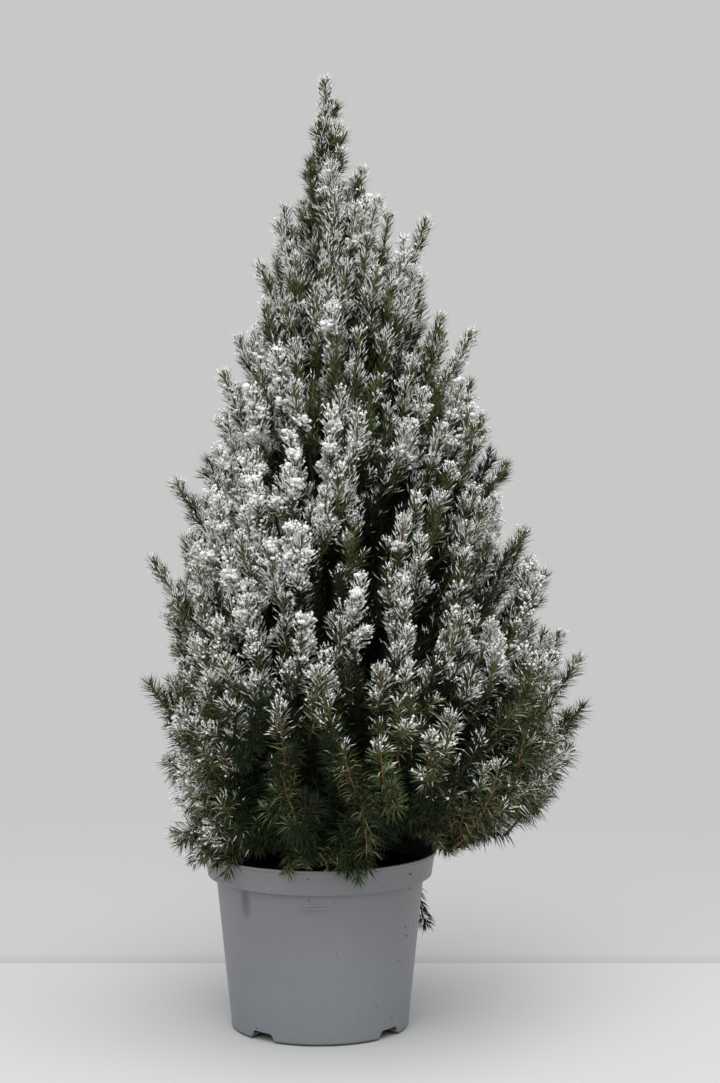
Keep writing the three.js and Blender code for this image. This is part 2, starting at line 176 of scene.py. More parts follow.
# Counted from 0, the tiers under LOW_TIERS have shoots that stray more, and those from HIGH_TIERS on have
# longer shoots that stand closer together
LOW_TIERS = 2
HIGH_TIERS = 4

# Leading shoots that make the outline on both sides of the view: tip x and z
LEADING_TIPS = (
    (-40, 792), (-59, 750), (-80, 679), (-94, 645), (-112, 563), (-143, 540), (-165, 465),
    (-151, 409), (-171, 344), (-152, 268), (-147, 190),
    (58, 812), (105, 793), (120, 701), (150, 684), (160, 592), (185, 558), (205, 490), (223, 451),
    (238, 392), (256, 367), (261, 321), (248, 278), (213, 234), (170, 196),
)
# The depth of the band, half before and half behind the crown's middle, in which they stand
LEADING_DEPTH = 24
# The shoots beside the leader: angle, radius, height and length
LEADER_SHOOTS = (
    (0, 33, 843, 90), (200, 18, 853, 84), (75, 24, 838, 84), (280, 22, 846, 84),
    (335, 11, 884, 74), (170, 9, 868, 70), (140, 30, 812, 70), (20, 4, 907, 60), (215, 5, 896, 60),
)
LEADER = SimpleNamespace(tip_x=6, bottom=786, root_share=0.3, bulge=3, side_spread=40, side_apart=7)
# The heights between which the side shoots of the leader grow shorter
LEADER_NARROWS = (820, 880)
# A sprig that droops past the rim behind the pot: the points of its curve, and how high its needles reach
DROOPING_SPRIG = ((92, 76, 204), (80, 90, 138), (106, 74, 84))
DROOP_TOP = 122
# Sprigs that lie over the front of the rim and beside it: where their tips are
RIM_SPRIGS = (
    (-88, -92, 169), (-98, -80, 175), (-29, -120, 177), (38, -125, 171), (28, -124, 178), (47, -120, 179),
    (-120, -60, 176), (-134, -40, 187), (-110, -78, 180), (124, -36, 182), (138, -24, 192),
)
# Where these sprigs come from and bend, as shares of the way from the pot's axis to the tip, and how high
RIM_SHOOT = SimpleNamespace(root_share=0.5, root_z=204, bend_share=0.86, bend_z=206)
# Where the foliage leaves the compost open to view, and how far it is raised there and along the rim
RIM_GAP = SimpleNamespace(x=84, y=-76, half_width=31, half_depth=80, top=203, lift=40, front_lift=14)
# The strip in front along the rim that foliage keeps out of
RIM_STRIP = SimpleNamespace(front=-40, inner_radius=97, top=187)

# Main shoots stand in three layers: how far apart their tips are, how far in from the outline they
# are, and how much their roots fan out round the middle of their mass
LAYERS = (
    SimpleNamespace(spacing=36, nearest=0.02, furthest=0.11, fanning=0.85, seed=0),
    SimpleNamespace(spacing=40, nearest=0.14, furthest=0.27, fanning=0.95, seed=5000),
    SimpleNamespace(spacing=42, nearest=0.3, furthest=0.48, fanning=1.0, seed=8000),
)
HIGH_TIER_SPACING = 0.92
# Over what range a tip strays from its even place, in the low tiers and in the rest, in mean distances
# between two tips
TIP_STRAY = SimpleNamespace(low=1.3, rest=0.9)
# Broad hollows in the crown's outside: how many cells round it and up it, and how deep they are
HOLLOW = SimpleNamespace(columns=17, rows=13, seed=20475, depth=0.11)
# How much further in the shoots stand on the left, between the leading ones, and at the foot on the right
TUCK = SimpleNamespace(left=0.13, low_right=0.17)
SHOOT = SimpleNamespace(
    length=92,
    high_tiers=1.25,
    stray=0.26,
    low_stray=1.6,
    steepness=1.9,
    lowest_root=193,
    lowest_rise=-8,
    bend_out=0.76,
    bend_up=0.34,
    end_needles=7,
    root_radius=1.5,
    tip_radius=0.8,
)
# The leading shoots are straighter, and lean out more
LEADING = SimpleNamespace(steepness=1.4, bend_out=0.55, bend_up=0.45)
SIDE = SimpleNamespace(
    first=0.12,
    last=0.8,
    apart=22,
    wider_behind=(1, 1.2, 3),
    shortest=9,
    longest=36,
    low_spread=47,
    high_spread=29,
    bend_back=0.45,
    lift=0.25,
    root_radius=0.9,
    tip_radius=0.6,
)
INNER = SimpleNamespace(root_radius=2.4, tip_radius=1.7, bend=0.55, sag=6.0)

# Needles and snow

# Lengths are in millimetres and angles in degrees. The rows behind, tuft, side_tuft, stoutness and shaded
# have a value for each layer of shoots, the outermost first. The shares in starts say how far along an
# inner limb, a main shoot and a side shoot the needles begin.
NEEDLE = SimpleNamespace(
    per_mm=2.1,
    low_per_mm=1.62,
    inner_per_mm=0.8,
    behind=(1, 0.6, 0.45),
    top_density=1.35,
    starts=(0.4, 0.12, 0.04),
    sprig_start=0.5,
    droop_start=0.22,
    tuft=(12, 6, 4),
    side_tuft=(8, 5, 3),
    tuft_run=5,
    closing_run=9,
    turn_stray=2.0,
    low_angle=62,
    high_angle=45,
    least_tuft_angle=6,
    most_tuft_angle=52,
    droop=0.45,
    rise=0.1,
    sprig_length=0.9,
    leading_length=1.12,
    inward=0.08,
    arch=0.17,
    low_z=230,
    high_z=400,
    stoutness=(1, 1.15, 1.5),
    # shaded is the share of each layer's sprays that take the shade green, which is painted shade.
    shaded=(0, 0.4, 0.6),
)
# Snow begins at a height that is lower at both sides of the view and higher in front. Above it lies a thin
# dusting, and a little more of it in the upper crown.
SNOW = SimpleNamespace(
    start=245,
    lower_left=85,
    lower_right=90,
    higher_front=92,
    fade_below=40,
    fade_above=90,
    dusting=0.36,
    upper=0.17,
    side_fade=60,
    clump=13,
)
# Broad drifts of snow, in cells like the hollows, which multiply it by a number from the least to the most
DRIFT = SimpleNamespace(columns=21, rows=17, seed=22861, least=0.5, most=1.6)
# Soft patches of more snow: their middles and reaches in x and z, how much they add, and on which side they
# lie, -1 in front, 1 behind and 0 both
FRONT_PATCH = SimpleNamespace(x=-48, z=510, reach_x=62, reach_z=88, gain=1.15, side=-1)
OTHER_PATCHES = (
    SimpleNamespace(x=-105, z=560, reach_x=60, reach_z=170, gain=0.12, side=0),
    SimpleNamespace(x=-126, z=240, reach_x=38, reach_z=52, gain=0.6, side=0),
    SimpleNamespace(x=165, z=290, reach_x=60, reach_z=60, gain=0.12, side=0),
    SimpleNamespace(x=20, z=480, reach_x=80, reach_z=120, gain=0.3, side=1),
)

# Stage

# The floor's straight edge behind the plant in metres, and its rings of corners in millimetres
FLOOR = SimpleNamespace(edge=0.252, first_ring=60, last_ring=9000, rings=24, sides=96)
# The photograph's height and focal length in pixels, where the eye is in metres, and its pitch in degrees
PHOTO = SimpleNamespace(height=1083, focal=2675, eye_x=0.0394, eye_z=0.687, pitch=4.59)
SENSOR_WIDTH = 36
LAMP_AIM = (0.02, 0, 0.45)


class PotSettings(bpy.types.PropertyGroup):
    """The pot's size and colours."""

    rim_radius: bpy.props.FloatProperty(
        name="Rim radius",
        description="Radius of the rim at its widest",
        default=POT.rim_radius * MM,
        unit="LENGTH",
    )
    foot_radius: bpy.props.FloatProperty(
        name="Foot radius",
        description="Radius of the wall where it stands",
        default=POT.foot_radius * MM,
        unit="LENGTH",
    )
    colour: bpy.props.FloatVectorProperty(
        name="Plastic",
        description="Grey of the moulded plastic",
        default=(0.212, 0.218, 0.231),
        subtype="COLOR",
    )
    compost_colour: bpy.props.FloatVectorProperty(
        name="Compost",
        description="Moist compost",
        default=(0.022, 0.017, 0.013),
        subtype="COLOR",
    )


class WoodSettings(bpy.types.PropertyGroup):
    """The colours of the bark and of the young twigs."""

    bark: bpy.props.FloatVectorProperty(
        name="Bark",
        description="Grey-brown bark of the trunk and boughs",
        default=(0.034, 0.023, 0.016),
        subtype="COLOR",
    )
    twig: bpy.props.FloatVectorProperty(
        name="Twig",
        description="Orange-brown skin of the young twigs",
        default=(0.18, 0.1, 0.038),
        subtype="COLOR",
    )


class NeedleSettings(bpy.types.PropertyGroup):
    """The needles' size and their greens."""

    length: bpy.props.FloatProperty(
        name="Needle length",
        description="Length of a needle in the upper crown",
        default=14 * MM,
        unit="LENGTH",
    )
    low_length: bpy.props.FloatProperty(
        name="Low needle length",
        description="Length of a needle at the foot of the crown",
        default=18 * MM,
        unit="LENGTH",
    )
    thickness: bpy.props.FloatProperty(
        name="Thickness",
        description="Thickness of a bare needle",
        default=0.9 * MM,
        unit="LENGTH",
    )
    # Shade green is painted shade: a near black green that stands for the shadow deep inside the crown.
    shade: bpy.props.FloatVectorProperty(
        name="Shade green",
        description="Needles deep inside the crown",
        default=(0.009, 0.017, 0.008),
        subtype="COLOR",
    )
    # Deep green is partly the darker colour of old needles and partly painted shade, in hollows and on
    # inner sprays.
    deep: bpy.props.FloatVectorProperty(
        name="Deep green",
        description="Old needles, and those of inner sprays and of hollows",
        default=(0.015, 0.024, 0.009),
        subtype="COLOR",
    )
    green: bpy.props.FloatVectorProperty(
        name="Green",
        description="Needles of most sprays",
        default=(0.042, 0.068, 0.018),
        subtype="COLOR",
    )
    olive: bpy.props.FloatVectorProperty(
        name="Olive",
        description="Duller needles low on the right",
        default=(0.088, 0.086, 0.034),
        subtype="COLOR",
    )
    fresh: bpy.props.FloatVectorProperty(
        name="Fresh green",
        description="Brighter needles at the foot of the crown and on leading tips on the right",
        default=(0.06, 0.105, 0.028),
        subtype="COLOR",
    )
    # Pale green is a painted highlight: needles made lighter for the light they catch.
    pale: bpy.props.FloatVectorProperty(
        name="Pale green",
        description="The needles that catch the light in every spray",
        default=(0.155, 0.18, 0.07),
        subtype="COLOR",
    )
    # Straw green is a painted highlight on the palest needles low down.
    straw: bpy.props.FloatVectorProperty(
        name="Straw green",
        description="The palest needles, low down",
        default=(0.21, 0.235, 0.11),
        subtype="COLOR",
    )


class SnowSettings(bpy.types.PropertyGroup):
    """How much snow lies on the crown, and its colour."""

    amount: bpy.props.FloatProperty(
        name="Amount",
        description="Share of the snow that lies on each spray",
        default=1.0,
        min=0.0,
        max=1.5,
        subtype="FACTOR",
    )
    colour: bpy.props.FloatVectorProperty(
        name="Snow",
        description="Snow and rime",
        default=(0.87, 0.87, 0.865),
        subtype="COLOR",
    )
    frost: bpy.props.FloatVectorProperty(
        name="Frost",
        description="Needles under a thin coat of frost",
        default=(0.21, 0.24, 0.15),
        subtype="COLOR",
    )


class StageSettings(bpy.types.PropertyGroup):
    """The floor, the light and the camera."""

    floor: bpy.props.FloatVectorProperty(
        name="Floor",
        description="Pale floor under the pot",
        default=(0.655, 0.66, 0.66),
        subtype="COLOR",
    )
    backdrop: bpy.props.FloatVectorProperty(
        name="Backdrop",
        description="Pale surroundings, which light the plant from all sides",
        default=(0.578, 0.578, 0.576),
        subtype="COLOR",
    )
    distance: bpy.props.FloatProperty(
        name="Camera distance",
        description="How far in front of the pot's middle the camera stands",
        default=2.6,
        unit="LENGTH",
    )


# Numbers and vectors


def chance(seed):
    """A repeatable number from 0 to 1 for each seed: the fraction left by a steep sine."""
    wave = np.sin(np.asarray(seed, float) * 12.9898 + 78.233) * 43758.5453
    return wave - np.floor(wave)


def mix(low, high, share):
    """The value at a share of the way from low to high."""
    return low + (high - low) * share


def step(low, high, value):
    """0 up to low, 1 from high, and a straight ramp between."""
    return np.clip((value - low) / (high - low), 0, 1)


def unit(vectors):
    """Vectors at length one."""
    return vectors / np.maximum(np.linalg.norm(vectors, axis=-1, keepdims=True), 1e-9)


def point(x, y, z):
    """Points from their three coordinates, each a number or an array."""
    return np.stack(np.broadcast_arrays(np.asarray(x, float), y, z), axis=-1)


def down(length):
    """Vectors that point down by each length."""
    return point(0, 0, -np.asarray(length))


class Curves:
    """Many quadratic curves at once. Each runs from its root to its tip and is drawn towards its bend.
    A curve lies in one plane, whose normal is kept, so a frame of three axes stands at any place on it."""

    def __init__(self, root, bend, tip):
        self.root = root
        self.bend = bend
        self.tip = tip
        flat = np.cross(bend - root, tip - root)
        level = np.cross(tip - root, (0, 0, 1.0))
        weak = np.linalg.norm(flat, axis=1) < 1e-3 * np.linalg.norm(tip - root, axis=1) ** 2
        flat[weak] = level[weak]
        flat[np.linalg.norm(flat, axis=1) < 1e-3] = (1, 0, 0)
        self.normal = unit(flat)

    def __len__(self):
        return len(self.root)

    def pick(self, which):
        return Curves(self.root[which], self.bend[which], self.tip[which])

    def length(self):
        """Two thirds of the straight line and one third of the two legs, close to the true length."""
        straight = np.linalg.norm(self.tip - self.root, axis=1)
        legs = np.linalg.norm(self.bend - self.root, axis=1) + np.linalg.norm(self.tip - self.bend, axis=1)
        return (2 * straight + legs) / 3

    def place(self, which, share):
        """The point at a share of curve number which: (1-s)^2 root + 2s(1-s) bend + s^2 tip."""
        s = np.asarray(share, float)[..., None]
        return (1 - s) ** 2 * self.root[which] + 2 * s * (1 - s) * self.bend[which] + s**2 * self.tip[which]

    def heading(self, which, share):
        """The direction there: (1-s)(bend - root) + s(tip - bend), at length one."""
        s = np.asarray(share, float)[..., None]
        out = (1 - s) * (self.bend[which] - self.root[which]) + s * (self.tip[which] - self.bend[which])
        return unit(out)


def chained(parts):
    """Several sets of curves as one."""
    return Curves(*(np.concatenate([getattr(p, key) for p in parts]) for key in ("root", "bend", "tip")))


def lattice(across, up, columns, rows, seed):
    """Smooth random heights from 0 to 1 over a grid that closes on itself across.
    A random value stands at each corner of the grid, and a smooth step mixes the four round a place."""
    values = chance(seed + np.arange(columns * rows)).reshape(columns, rows)
    x = across % 1 * columns
    y = np.clip(up, 0, 0.9999) * (rows - 1)
    column = np.floor(x).astype(int) % columns
    row = np.floor(y).astype(int)
    s = x - np.floor(x)
    t = y - np.floor(y)
    s = s * s * (3 - 2 * s)
    t = t * t * (3 - 2 * t)
    after = (column + 1) % columns
    above = np.minimum(row + 1, rows - 1)
    low = mix(values[column, row], values[after, row], s)
    high = mix(values[column, above], values[after, above], s)
    return mix(low, high, t)


# Surfaces


def grid_faces(rows, columns):
    """Four-cornered faces between neighbouring rows of corners, and round from the last column to the
    first. Rows run along the surface and columns round it, so that the faces point outwards."""
    row, column = np.meshgrid(np.arange(rows - 1), np.arange(columns), indexing="ij")
    after = (column + 1) % columns
    here = row * columns
    corners = (here + column, here + after, here + columns + after, here + columns + column)
    return np.stack(corners, axis=-1).reshape(-1, 4)


def tube_faces(count, rows, sides):
    """Faces of many closed tubes whose corners lie ring by ring, with the root and the tip point last."""
    size = rows * sides + 2
    wall = grid_faces(rows, sides)
    side = np.arange(sides)
    after = (side + 1) % sides
    root = np.stack([np.full(sides, size - 2), after, side], axis=1)
    last = (rows - 1) * sides
    tip = np.stack([np.full(sides, size - 1), last + side, last + after], axis=1)
    offset = size * np.arange(count)
    quads = (wall[None] + offset[:, None, None]).reshape(-1, 4)
    triangles = (np.concatenate([root, tip])[None] + offset[:, None, None]).reshape(-1, 3)
    return [quads, triangles]


def tubes(curves, radius, sides, rows, sharp_tip=1.0):
    """Closed tubes along many curves at once. At each row a ring of corners stands across the curve:
    place + radius (cos a * normal + sin a * heading x normal). radius is an array of curve by row."""
    count = len(curves)
    share = np.linspace(0, 1, rows)
    which = np.arange(count)[:, None]
    place = curves.place(which, np.broadcast_to(share, (count, rows)))
    heading = curves.heading(which, np.broadcast_to(share, (count, rows)))
    normal = np.broadcast_to(curves.normal[:, None], heading.shape)
    over = np.cross(heading, normal)
    angle = TAU * np.arange(sides) / sides
    ring = np.cos(angle)[:, None] * normal[:, :, None] + np.sin(angle)[:, None] * over[:, :, None]
    corners = place[:, :, None] + radius[:, :, None, None] * ring
    end = place[:, -1] + heading[:, -1] * radius[:, -1:] * sharp_tip
    ends = np.stack([place[:, 0], end], axis=1)
    places = np.concatenate([corners.reshape(count, rows * sides, 3), ends], axis=1)
    return places.reshape(-1, 3), tube_faces(count, rows, sides)


def spindles(root, heading, length, radius, roll, bow, widest):
    """Closed three-sided spindles, one for each root. Three corners stand round the axis, turned by the
    roll, at the share of the length where a spindle is widest. The axis is
    root + heading * length * s + bow * 4s(1-s), for a share s of the length. A spindle that is widest at
    its root is closed there by one face and needs no root point."""
    level = unit(np.cross(heading, (0, 0, 1.0)) + (1e-4, 0, 0))
    up = np.cross(level, heading)
    angle = (roll[:, None] + TAU * np.arange(3) / 3)[..., None]
    across = np.cos(angle) * level[:, None] + np.sin(angle) * up[:, None]
    middle = root + heading * (length * widest)[:, None] + bow * (4 * widest * (1 - widest))
    corners = middle[:, None] + across * radius[:, None, None]
    tip = (root + heading * length[:, None])[:, None]
    side = np.arange(3)
    after = (side + 1) % 3
    if widest > 0:
        places = np.concatenate([corners, root[:, None], tip], axis=1)
        foot = np.stack([np.full(3, 3), after, side], axis=1)
    else:
        places = np.concatenate([corners, tip], axis=1)
        foot = np.array([[2, 1, 0]])
    size = places.shape[1]
    faces = np.concatenate([foot, np.stack([np.full(3, size - 1), side, after], axis=1)])
    offset = size * np.arange(len(root))
    return places.reshape(-1, 3), (faces[None] + offset[:, None, None]).reshape(-1, 3)


def lumps(middle, radius, stretch, seed):
    """Closed uneven lumps of twenty faces: an icosahedron's corners, each moved in or out by chance."""
    ratio = (1 + math.sqrt(5)) / 2
    corners = np.array(
        [(-1, ratio, 0), (1, ratio, 0), (-1, -ratio, 0), (1, -ratio, 0), (0, -1, ratio), (0, 1, ratio),
         (0, -1, -ratio), (0, 1, -ratio), (ratio, 0, -1), (ratio, 0, 1), (-ratio, 0, -1), (-ratio, 0, 1)]
    )
    faces = np.array(
        [(0, 11, 5), (0, 5, 1), (0, 1, 7), (0, 7, 10), (0, 10, 11), (1, 5, 9), (5, 11, 4), (11, 10, 2),
         (10, 7, 6), (7, 1, 8), (3, 9, 4), (3, 4, 2), (3, 2, 6), (3, 6, 8), (3, 8, 9), (4, 9, 5),
         (2, 4, 11), (6, 2, 10), (8, 6, 7), (9, 8, 1)]
    )
    moved = chance(seed + np.arange(len(middle) * 12)).reshape(-1, 12, 1)
    shape = unit(corners)[None] * mix(0.75, 1.2, moved)
    places = middle[:, None] + shape * radius[:, None, None] * np.asarray(stretch)
    offset = 12 * np.arange(len(middle))
    return places.reshape(-1, 3), (faces[None] + offset[:, None, None]).reshape(-1, 3)


def beads(middle, radius, seed):
    """Closed beads of eight faces: an octahedron's six corners, each moved in or out by chance."""
    corners = np.array([(1, 0, 0), (0, 1, 0), (-1, 0, 0), (0, -1, 0), (0, 0, 1), (0, 0, -1)], float)
    faces = np.array(
        [(0, 1, 4), (1, 2, 4), (2, 3, 4), (3, 0, 4), (1, 0, 5), (2, 1, 5), (3, 2, 5), (0, 3, 5)]
    )
    moved = chance(seed + np.arange(len(middle) * 6)).reshape(-1, 6, 1)
    shape = corners[None] * mix(0.8, 1.25, moved)
    turn = TAU * chance(seed + 1 + np.arange(len(middle)))
    x = shape[..., 0] * np.cos(turn)[:, None] - shape[..., 1] * np.sin(turn)[:, None]
    y = shape[..., 0] * np.sin(turn)[:, None] + shape[..., 1] * np.cos(turn)[:, None]
    places = middle[:, None] + point(x, y, 0.9 * shape[..., 2]) * radius[:, None, None]
    offset = 6 * np.arange(len(middle))
    return places.reshape(-1, 3), (faces[None] + offset[:, None, None]).reshape(-1, 3)


def add_mesh(name, places, faces, materials, looks=None, smooth=True):
    """An object at the origin with its place in its mesh. faces is a list of arrays of corner numbers,
    one array for each number of corners, and looks gives each face its material."""
    mesh = bpy.data.meshes.new(name)
    corners = np.concatenate([f.ravel() for f in faces]).astype(np.int32)
    sizes = np.concatenate([np.full(len(f), f.shape[1]) for f in faces])
    starts = np.concatenate([[0], np.cumsum(sizes)[:-1]]).astype(np.int32)
    mesh.vertices.add(len(places))
    mesh.vertices.foreach_set("co", (places * MM).astype(np.float32).ravel())
    mesh.loops.add(len(corners))
    mesh.loops.foreach_set("vertex_index", corners)
    mesh.polygons.add(len(sizes))
    mesh.polygons.foreach_set("loop_start", starts)
    mesh.polygons.foreach_set("use_smooth", np.full(len(sizes), smooth))
    for material in materials:
        mesh.materials.append(material)
    if looks is not None:
        mesh.polygons.foreach_set("material_index", looks.astype(np.int32))
    mesh.update(calc_edges=True)
    if mesh.validate():
        raise RuntimeError(f"the mesh of {name} isn't sound")
    piece = bpy.data.objects.new(name, mesh)
    bpy.context.scene.collection.objects.link(piece)
    return piece


def settle(piece, slot, *nodes):
    """The piece rides on the plant's one body and stands for these CAD nodes. Its slot is not used."""
    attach(piece, "root")
    if nodes:
        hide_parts(*nodes)


# Materials


class Wire:
    """A socket of a material. Arithmetic on it adds a Math node and gives that node's result."""

    def __init__(self, nodes, socket):
        self.nodes = nodes
        self.socket = socket

    def worked(self, operation, first, second):
        return self.nodes.add("ShaderNodeMath", {"operation": operation}, {0: first, 1: second})

    def __add__(self, other):
        return self.worked("ADD", self, other)

    def __radd__(self, other):
        return self.worked("ADD", other, self)

    def __sub__(self, other):
        return self.worked("SUBTRACT", self, other)

    def __rsub__(self, other):
        return self.worked("SUBTRACT", other, self)

    def __mul__(self, other):
        return self.worked("MULTIPLY", self, other)

    def __rmul__(self, other):
        return self.worked("MULTIPLY", other, self)


class Nodes:
    """A material's nodes round its Principled shader."""

    def __init__(self, name, constants):
        self.material = bpy.data.materials.new(name)
        self.material.use_nodes = True
        self.tree = self.material.node_tree
        self.shader = self.tree.nodes["Principled BSDF"]
        for key, value in constants.items():
            self.feed(self.shader.inputs[key], value)

    def feed(self, socket, value):
        """Links a wire to a socket, or sets its value."""
        if isinstance(value, Wire):
            self.tree.links.new(value.socket, socket)
        elif hasattr(value, "__len__") and len(value) == 3 and socket.type == "RGBA":
            socket.default_value = (*value, 1)
        else:
            socket.default_value = value

    def add(self, kind, settings=None, sockets=None, result=0):
        """A node of a kind, with its settings made first and then its sockets' values or links."""
        node = self.tree.nodes.new(kind)
        for key, value in (settings or {}).items():
            if key == "stops":
                while len(node.color_ramp.elements) < len(value):
                    node.color_ramp.elements.new(1)
                for element, (position, colour) in zip(node.color_ramp.elements, value):
                    element.position = position
                    element.color = (*colour, 1)
            else:
                setattr(node, key, value)
        for key, value in (sockets or {}).items():
            self.feed(node.inputs[key], value)
        return Wire(self, node.outputs[result])

    def place(self):
        """The object's own coordinates, in metres."""
        return self.add("ShaderNodeTexCoord", result="Object")

    def stretched(self, size):
        """The object's coordinates, each multiplied by its part of size."""
        return self.add("ShaderNodeMapping", None, {"Vector": self.place(), "Scale": size})

    def noise(self, vector, scale, detail=3.0, roughness=0.55):
        sockets = {"Vector": vector, "Scale": scale, "Detail": detail, "Roughness": roughness}
        return self.add("ShaderNodeTexNoise", None, sockets)

    def ramp(self, value, low, high):
        """0 up to low, 1 from high, and a smooth rise between."""
        sockets = {"Value": value, "From Min": low, "From Max": high}
        return self.add("ShaderNodeMapRange", {"interpolation_type": "SMOOTHSTEP"}, sockets)

    def blend(self, share, first, second):
        """A colour between two others."""
        return self.add("ShaderNodeMix", {"data_type": "RGBA"}, {0: share, 6: first, 7: second}, 2)

    def spot(self, middle, size):
        """1 in the middle of a soft spot and 0 from its edge on. middle and size are in millimetres."""
        scale = tuple(1 / (s * MM) for s in size)
        shift = tuple(-m / s for m, s in zip(middle, size))
        sockets = {"Vector": self.place(), "Scale": scale, "Location": shift}
        away = self.add("ShaderNodeMapping", None, sockets)
        far = self.add("ShaderNodeVectorMath", {"operation": "LENGTH"}, {0: away}, "Value")
        return 1 - self.ramp(far, 0.2, 1.0)

    def height(self):
        """The height above the floor, in metres."""
        return self.add("ShaderNodeSeparateXYZ", None, {0: self.place()}, "Z")

    def finish(self, colour, roughness=None, bump=None, depth=0.0, strength=0.0):
        """Links the colour, the roughness and a bump, whose depth is in metres."""
        self.feed(self.shader.inputs["Base Color"], colour)
        if roughness is not None:
            self.feed(self.shader.inputs["Roughness"], roughness)
        if bump is not None:
            sockets = {"Height": bump, "Distance": depth, "Strength": strength}
            self.feed(self.shader.inputs["Normal"], self.add("ShaderNodeBump", None, sockets))
        return self.material


def scaled(colour, factor):
    """A colour made lighter or darker, up to white."""
    return tuple(min(1.0, c * factor) for c in colour)


def pot_plastic(colour):
    """Satin grey plastic: faint clouds, a bluer foot, dust under the rim, dull scuffs, a smudge, a painted
    contact shadow as a dark line where it stands, and a painted highlight as a paler top edge."""
    nodes = Nodes("pot_plastic", {"IOR": 1.46})
    clouds = nodes.noise(nodes.place(), 9, 4)
    grain = nodes.noise(nodes.place(), 900, 2)
    brushed = nodes.noise(nodes.stretched((6, 6, 260)), 3, 4)
    foot = 1 - nodes.ramp(nodes.height(), 0.02, 0.11)
    under_rim = nodes.ramp(nodes.height(), 0.13, 0.158)
    body = nodes.blend(nodes.ramp(clouds, 0.3, 0.7), scaled(colour, 0.95), scaled(colour, 1.05))
    body = nodes.blend(foot * 0.5, body, (colour[0] * 0.93, colour[1] * 1.0, colour[2] * 1.07))
    body = nodes.blend(under_rim * nodes.ramp(brushed, 0.52, 0.7) * 0.18, body, scaled(colour, 1.35))
    runs = nodes.noise(nodes.stretched((34, 34, 2.5)), 3, 3)
    body = nodes.blend(nodes.ramp(runs, 0.55, 0.75) * 0.22, body, scaled(colour, 1.25))
    smudge = nodes.spot((-72, -76, 136), (9, 14, 26)) * 0.9
    scuff = nodes.spot((-5, -103, 136), (24, 14, 9)) * nodes.ramp(brushed, 0.4, 0.55) * 0.75
    flecks = nodes.noise(nodes.place(), 260, 1, 0.3)
    dirt = nodes.ramp(flecks, 0.74, 0.79) * nodes.ramp(clouds, 0.45, 0.62)
    # A painted contact shadow: the lowest few millimetres of the wall are darkened where the pot stands.
    stand = 1 - nodes.ramp(nodes.height(), 0.0014, 0.0034)
    # A painted highlight: a thin paler line along the top edge of the rim.
    painted_highlight_edge = nodes.ramp(nodes.height(), 0.1742, 0.1752)
    body = nodes.blend(smudge, body, scaled(colour, 0.45))
    body = nodes.blend(scuff, body, scaled(colour, 0.6))
    body = nodes.blend(dirt * 0.55, body, scaled(colour, 0.35))
    body = nodes.blend(stand * 0.9, body, scaled(colour, 0.15))
    body = nodes.blend(painted_highlight_edge * 0.5, body, scaled(colour, 1.7))
    rough = 0.3 + 0.14 * clouds + 0.1 * brushed
    return nodes.finish(body, rough, grain * 0.6 + brushed * 0.4, 0.00025, 0.35)


def compost_look(colour):
    """Moist, crumbly compost: near black, with paler fibres."""
    nodes = Nodes("compost", {"Specular IOR Level": 0.3})
    coarse = nodes.noise(nodes.place(), 130, 5, 0.7)
    fibre = nodes.noise(nodes.stretched((1, 2.2, 1)), 420, 3, 0.6)
    body = nodes.blend(nodes.ramp(coarse, 0.35, 0.7), scaled(colour, 0.5), scaled(colour, 1.5))
    body = nodes.blend(nodes.ramp(fibre, 0.66, 0.74) * 0.7, body, (0.12, 0.085, 0.055))
    return nodes.finish(body, 0.78 + 0.2 * coarse, coarse, 0.002, 0.9)


def bark_look(name, colour, scale):
    """Scaly bark: long plates with darker seams between, paler where they flake."""
    nodes = Nodes(name, {"Specular IOR Level": 0.3})
    plates = nodes.noise(nodes.stretched((1, 1, 0.3)), 170 * scale, 4, 0.65)
    flakes = nodes.noise(nodes.place(), 520 * scale, 3)
    body = nodes.blend(nodes.ramp(plates, 0.36, 0.62), scaled(colour, 0.4), scaled(colour, 1.25))
    body = nodes.blend(nodes.ramp(flakes, 0.6, 0.75) * 0.6, body, scaled(colour, 2.0))
    return nodes.finish(body, 0.7 + 0.25 * flakes, plates + 0.3 * flakes, 0.0012, 0.8)


def plain_look(name, colour, roughness, gloss):
    """One colour, dealt out by spray, as each needle is thinner than any pattern on it."""
    constants = {"Base Color": colour, "Roughness": roughness, "Specular IOR Level": gloss}
    return Nodes(name, constants).material


def floor_look(colour, beyond):
    """The pale floor, a little duller behind a straight edge and with a soft band of painted shadow just
    behind it, that glows like the surroundings far out.
    """
    nodes = Nodes("pale_floor", {"Roughness": 0.8})
    far = nodes.add("ShaderNodeVectorMath", {"operation": "LENGTH"}, {0: nodes.place()}, "Value")
    back = nodes.add("ShaderNodeSeparateXYZ", None, {0: nodes.place()}, "Y")
    edge = nodes.ramp(back, FLOOR.edge - 0.004, FLOOR.edge + 0.004)
    # seam is a painted shadow: a soft darker band just behind the edge, where the floor meets the backdrop.
    seam = edge * (1 - nodes.ramp(back, FLOOR.edge, FLOOR.edge + 0.05))
    tone = nodes.blend(edge, colour, scaled(colour, 0.92))
    nodes.finish(nodes.blend(seam, tone, scaled(colour, 0.8)))
    glow = nodes.add("ShaderNodeEmission", None, {"Color": beyond, "Strength": 1.0})
    body = Wire(nodes, nodes.shader.outputs[0])
    both = nodes.add("ShaderNodeMixShader", None, {0: nodes.ramp(far, 0.4, 1.5), 1: body, 2: glow})
    nodes.tree.links.new(both.socket, nodes.tree.nodes["Material Output"].inputs["Surface"])
    return nodes.material


# Pot and compost


def wall_radius(z):
    """The wall's outer radius, which grows evenly from the foot to the band."""
    return mix(POT.foot_radius, POT.shoulder_radius, z / POT.band_bottom)


